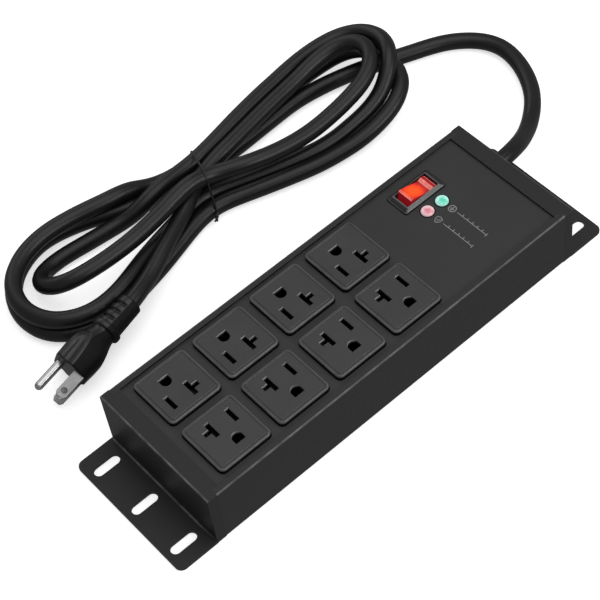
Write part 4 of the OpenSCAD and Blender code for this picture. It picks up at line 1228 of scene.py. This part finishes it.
def make_marks():
    w = 0.48
    # earth sign in a ring, read from the strip's -X side, then a leader rule ending in a tick
    x, y = 82.0, 3.9
    green = [[circle(x, y, 2.35), circle(x, y, 2.35 - w)]]
    green += [stroke((x + 1.45, y), (x + 0.1, y), w)]
    for k, hw_ in enumerate((1.35, 0.9, 0.45)):
        green.append(bar(x + 0.1 - 0.62 * k, y, w / 2 * 0.85, hw_))
    green += [bar(x, -10.4, 0.2, 10.6), bar(x, -21.2, 1.2, 0.2)]
    for k in range(5):
        green.append(bar(x + 0.85, -3.4 - 3.6 * k, 0.65, 0.2))
    # shield outline with a tick inside, then the same rule
    x, y = 71.7, 3.9
    def shield(s):
        pts = [(1.0, 0.0), (0.78, 0.42), (0.66, 0.86), (-0.1, 0.84), (-0.62, 0.52), (-1.05, 0.0)]
        full = pts + [(p[0], -p[1]) for p in pts[-2:0:-1]]
        return [(x + 2.45 * s * p[0], y + 2.3 * s * p[1]) for p in full]
    outer = shield(1.0)
    red = [[outer, shield(0.80)]]
    red += [stroke((x - 0.75, y + 0.05), (x + 0.0, y + 0.85), 0.4), stroke((x - 0.95, y + 0.2), (x + 0.95, y - 0.85), 0.4)]
    red += [bar(x, -10.4, 0.2, 10.6), bar(x, -21.2, 1.2, 0.2)]
    for k in range(5):
        red.append(bar(x + 0.85, -3.4 - 3.6 * k, 0.65, 0.2))
    for name, shapes in (("legend_earth_mark", green), ("legend_shield_mark", red)):
        v, f = flat_mark(shapes)
        finish_mesh(name, v, f, INK, sharp=30, weighted=False)


make_marks()


# ------------------------------------------------------------------ plunger spring
def make_spring():
    """Wound spring inside the rocker's stem, with closed end coils; 5.74 mm long at rest."""
    t0 = math.radians(10)
    cs, sn = math.cos(t0), math.sin(t0)

    def out(x, y, z):
        return (76.3 + x * cs + z * sn, 25.4 + y, 34.3 - x * sn + z * cs)

    line = []
    for i in range(181):
        t = i / 180
        a = 2 * math.pi * 5 * t
        line.append(out(1.2 * math.cos(a), 1.2 * math.sin(a), -3.45 + 5.3 * (t - 0.055 * math.sin(2 * math.pi * t))))
    v, f = tube(line, 0.22, 10)
    ob = finish_mesh("switch_spring_coil", v, f, SPRING, body="rocker", replaces=("switch_spring",), sharp=50, weighted=False)
    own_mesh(ob)
    return ob


make_spring()


# ------------------------------------------------------------------ screws and inner parts keep their CAD shapes and take real finishes, the brass darkened as painted shade
FINISH = {
    "bracket_screws": STEEL, "carrier_screws": STEEL, "board_screws": STEEL, "board_standoffs": TIN,
    "outlet_carrier_left": CARRIER, "outlet_carrier_right": CARRIER,
    "line_bus_left": BRASS_PAINTED_SHADE, "line_bus_right": BRASS_PAINTED_SHADE, "neutral_bus_left": BRASS_PAINTED_SHADE, "neutral_bus_right": BRASS_PAINTED_SHADE, "ground_bus_left": BRASS_PAINTED_SHADE, "ground_bus_right": BRASS_PAINTED_SHADE,
    "switch_contact_lever": COPPER, "switch_plunger": NYLON, "switch_terminals": TIN, "switch_lamp": LAMP,
    "led_emitters": EPOXY, "surge_board": BOARD, "varistors": VARISTOR, "thermal_fuse": FUSE, "filter_capacitor": CAPACITOR, "ground_screw": GREENS,
    "line_wires": WIRE_K, "neutral_wires": WIRE_W, "ground_wires": WIRE_G,
}
for n, mat in FINISH.items():
    ob = NODE[n]
    for p in ob.data.polygons:
        p.material_index = 0
    ob.data.materials.clear()
    ob.data.materials.append(mat)
for n in NODE:
    if n not in FINISH:
        ob = NODE[n]
        ob.data.materials.clear()
        ob.data.materials.append(CARRIER)


# ------------------------------------------------------------------ stage and light
def make_stage():
    me = bpy.data.meshes.new("floor")
    bm = bmesh.new()
    bmesh.ops.create_circle(bm, cap_ends=True, cap_tris=False, segments=96, radius=14)
    bm.to_mesh(me)
    bm.free()
    ob = bpy.data.objects.new("floor", me)
    ob.location = (0.02, 0.06, -0.0003)
    root.objects.link(ob)
    m = Mat("floor_mat")
    n = m.noise(9, 2, 0.5)
    m.set(color=m.mix(m.span(n, 0.3, 0.7), (0.93, 0.93, 0.93), (0.95, 0.95, 0.95)), rough=0.9, spec=0.0, emit=(1, 1, 1), emit_k=0.6)
    me.materials.append(m.mat)
    ob.visible_diffuse = False
    ob.visible_glossy = False
    w = bpy.data.worlds.new("studio")
    scene.world = w
    w.use_nodes = True
    bg = w.node_tree.nodes["Background"]
    bg.inputs[0].default_value = (1, 1, 1, 1)
    bg.inputs[1].default_value = 0.28

    def lamp(name, direction, distance, sx, sy, power):
        l = bpy.data.lights.new(name, "AREA")
        l.shape = "RECTANGLE"
        l.size, l.size_y, l.energy = sx, sy, power
        o = bpy.data.objects.new(name, l)
        d = Vector(direction).normalized()
        o.location = Vector((0.0, 0.04, 0.02)) + d * distance
        o.rotation_euler = d.to_track_quat("Z", "Y").to_euler()
        o.visible_camera = False
        root.objects.link(o)

    for args in (
        ("overhead", (0.15, -0.10, 1.0), 1.7, 1.7, 1.7, 13),
        ("flank", (0.34, -0.80, 0.46), 1.35, 1.1, 0.35, 6),
        ("rear_left", (0.1, 0.9, 0.55), 1.5, 1.2, 0.6, 2.5),
    ):
        lamp(*args)
    scene.view_settings.view_transform = "Standard"
    scene.view_settings.look = "None"
    scene.view_settings.exposure = 0
    scene.view_settings.gamma = 1


make_stage()
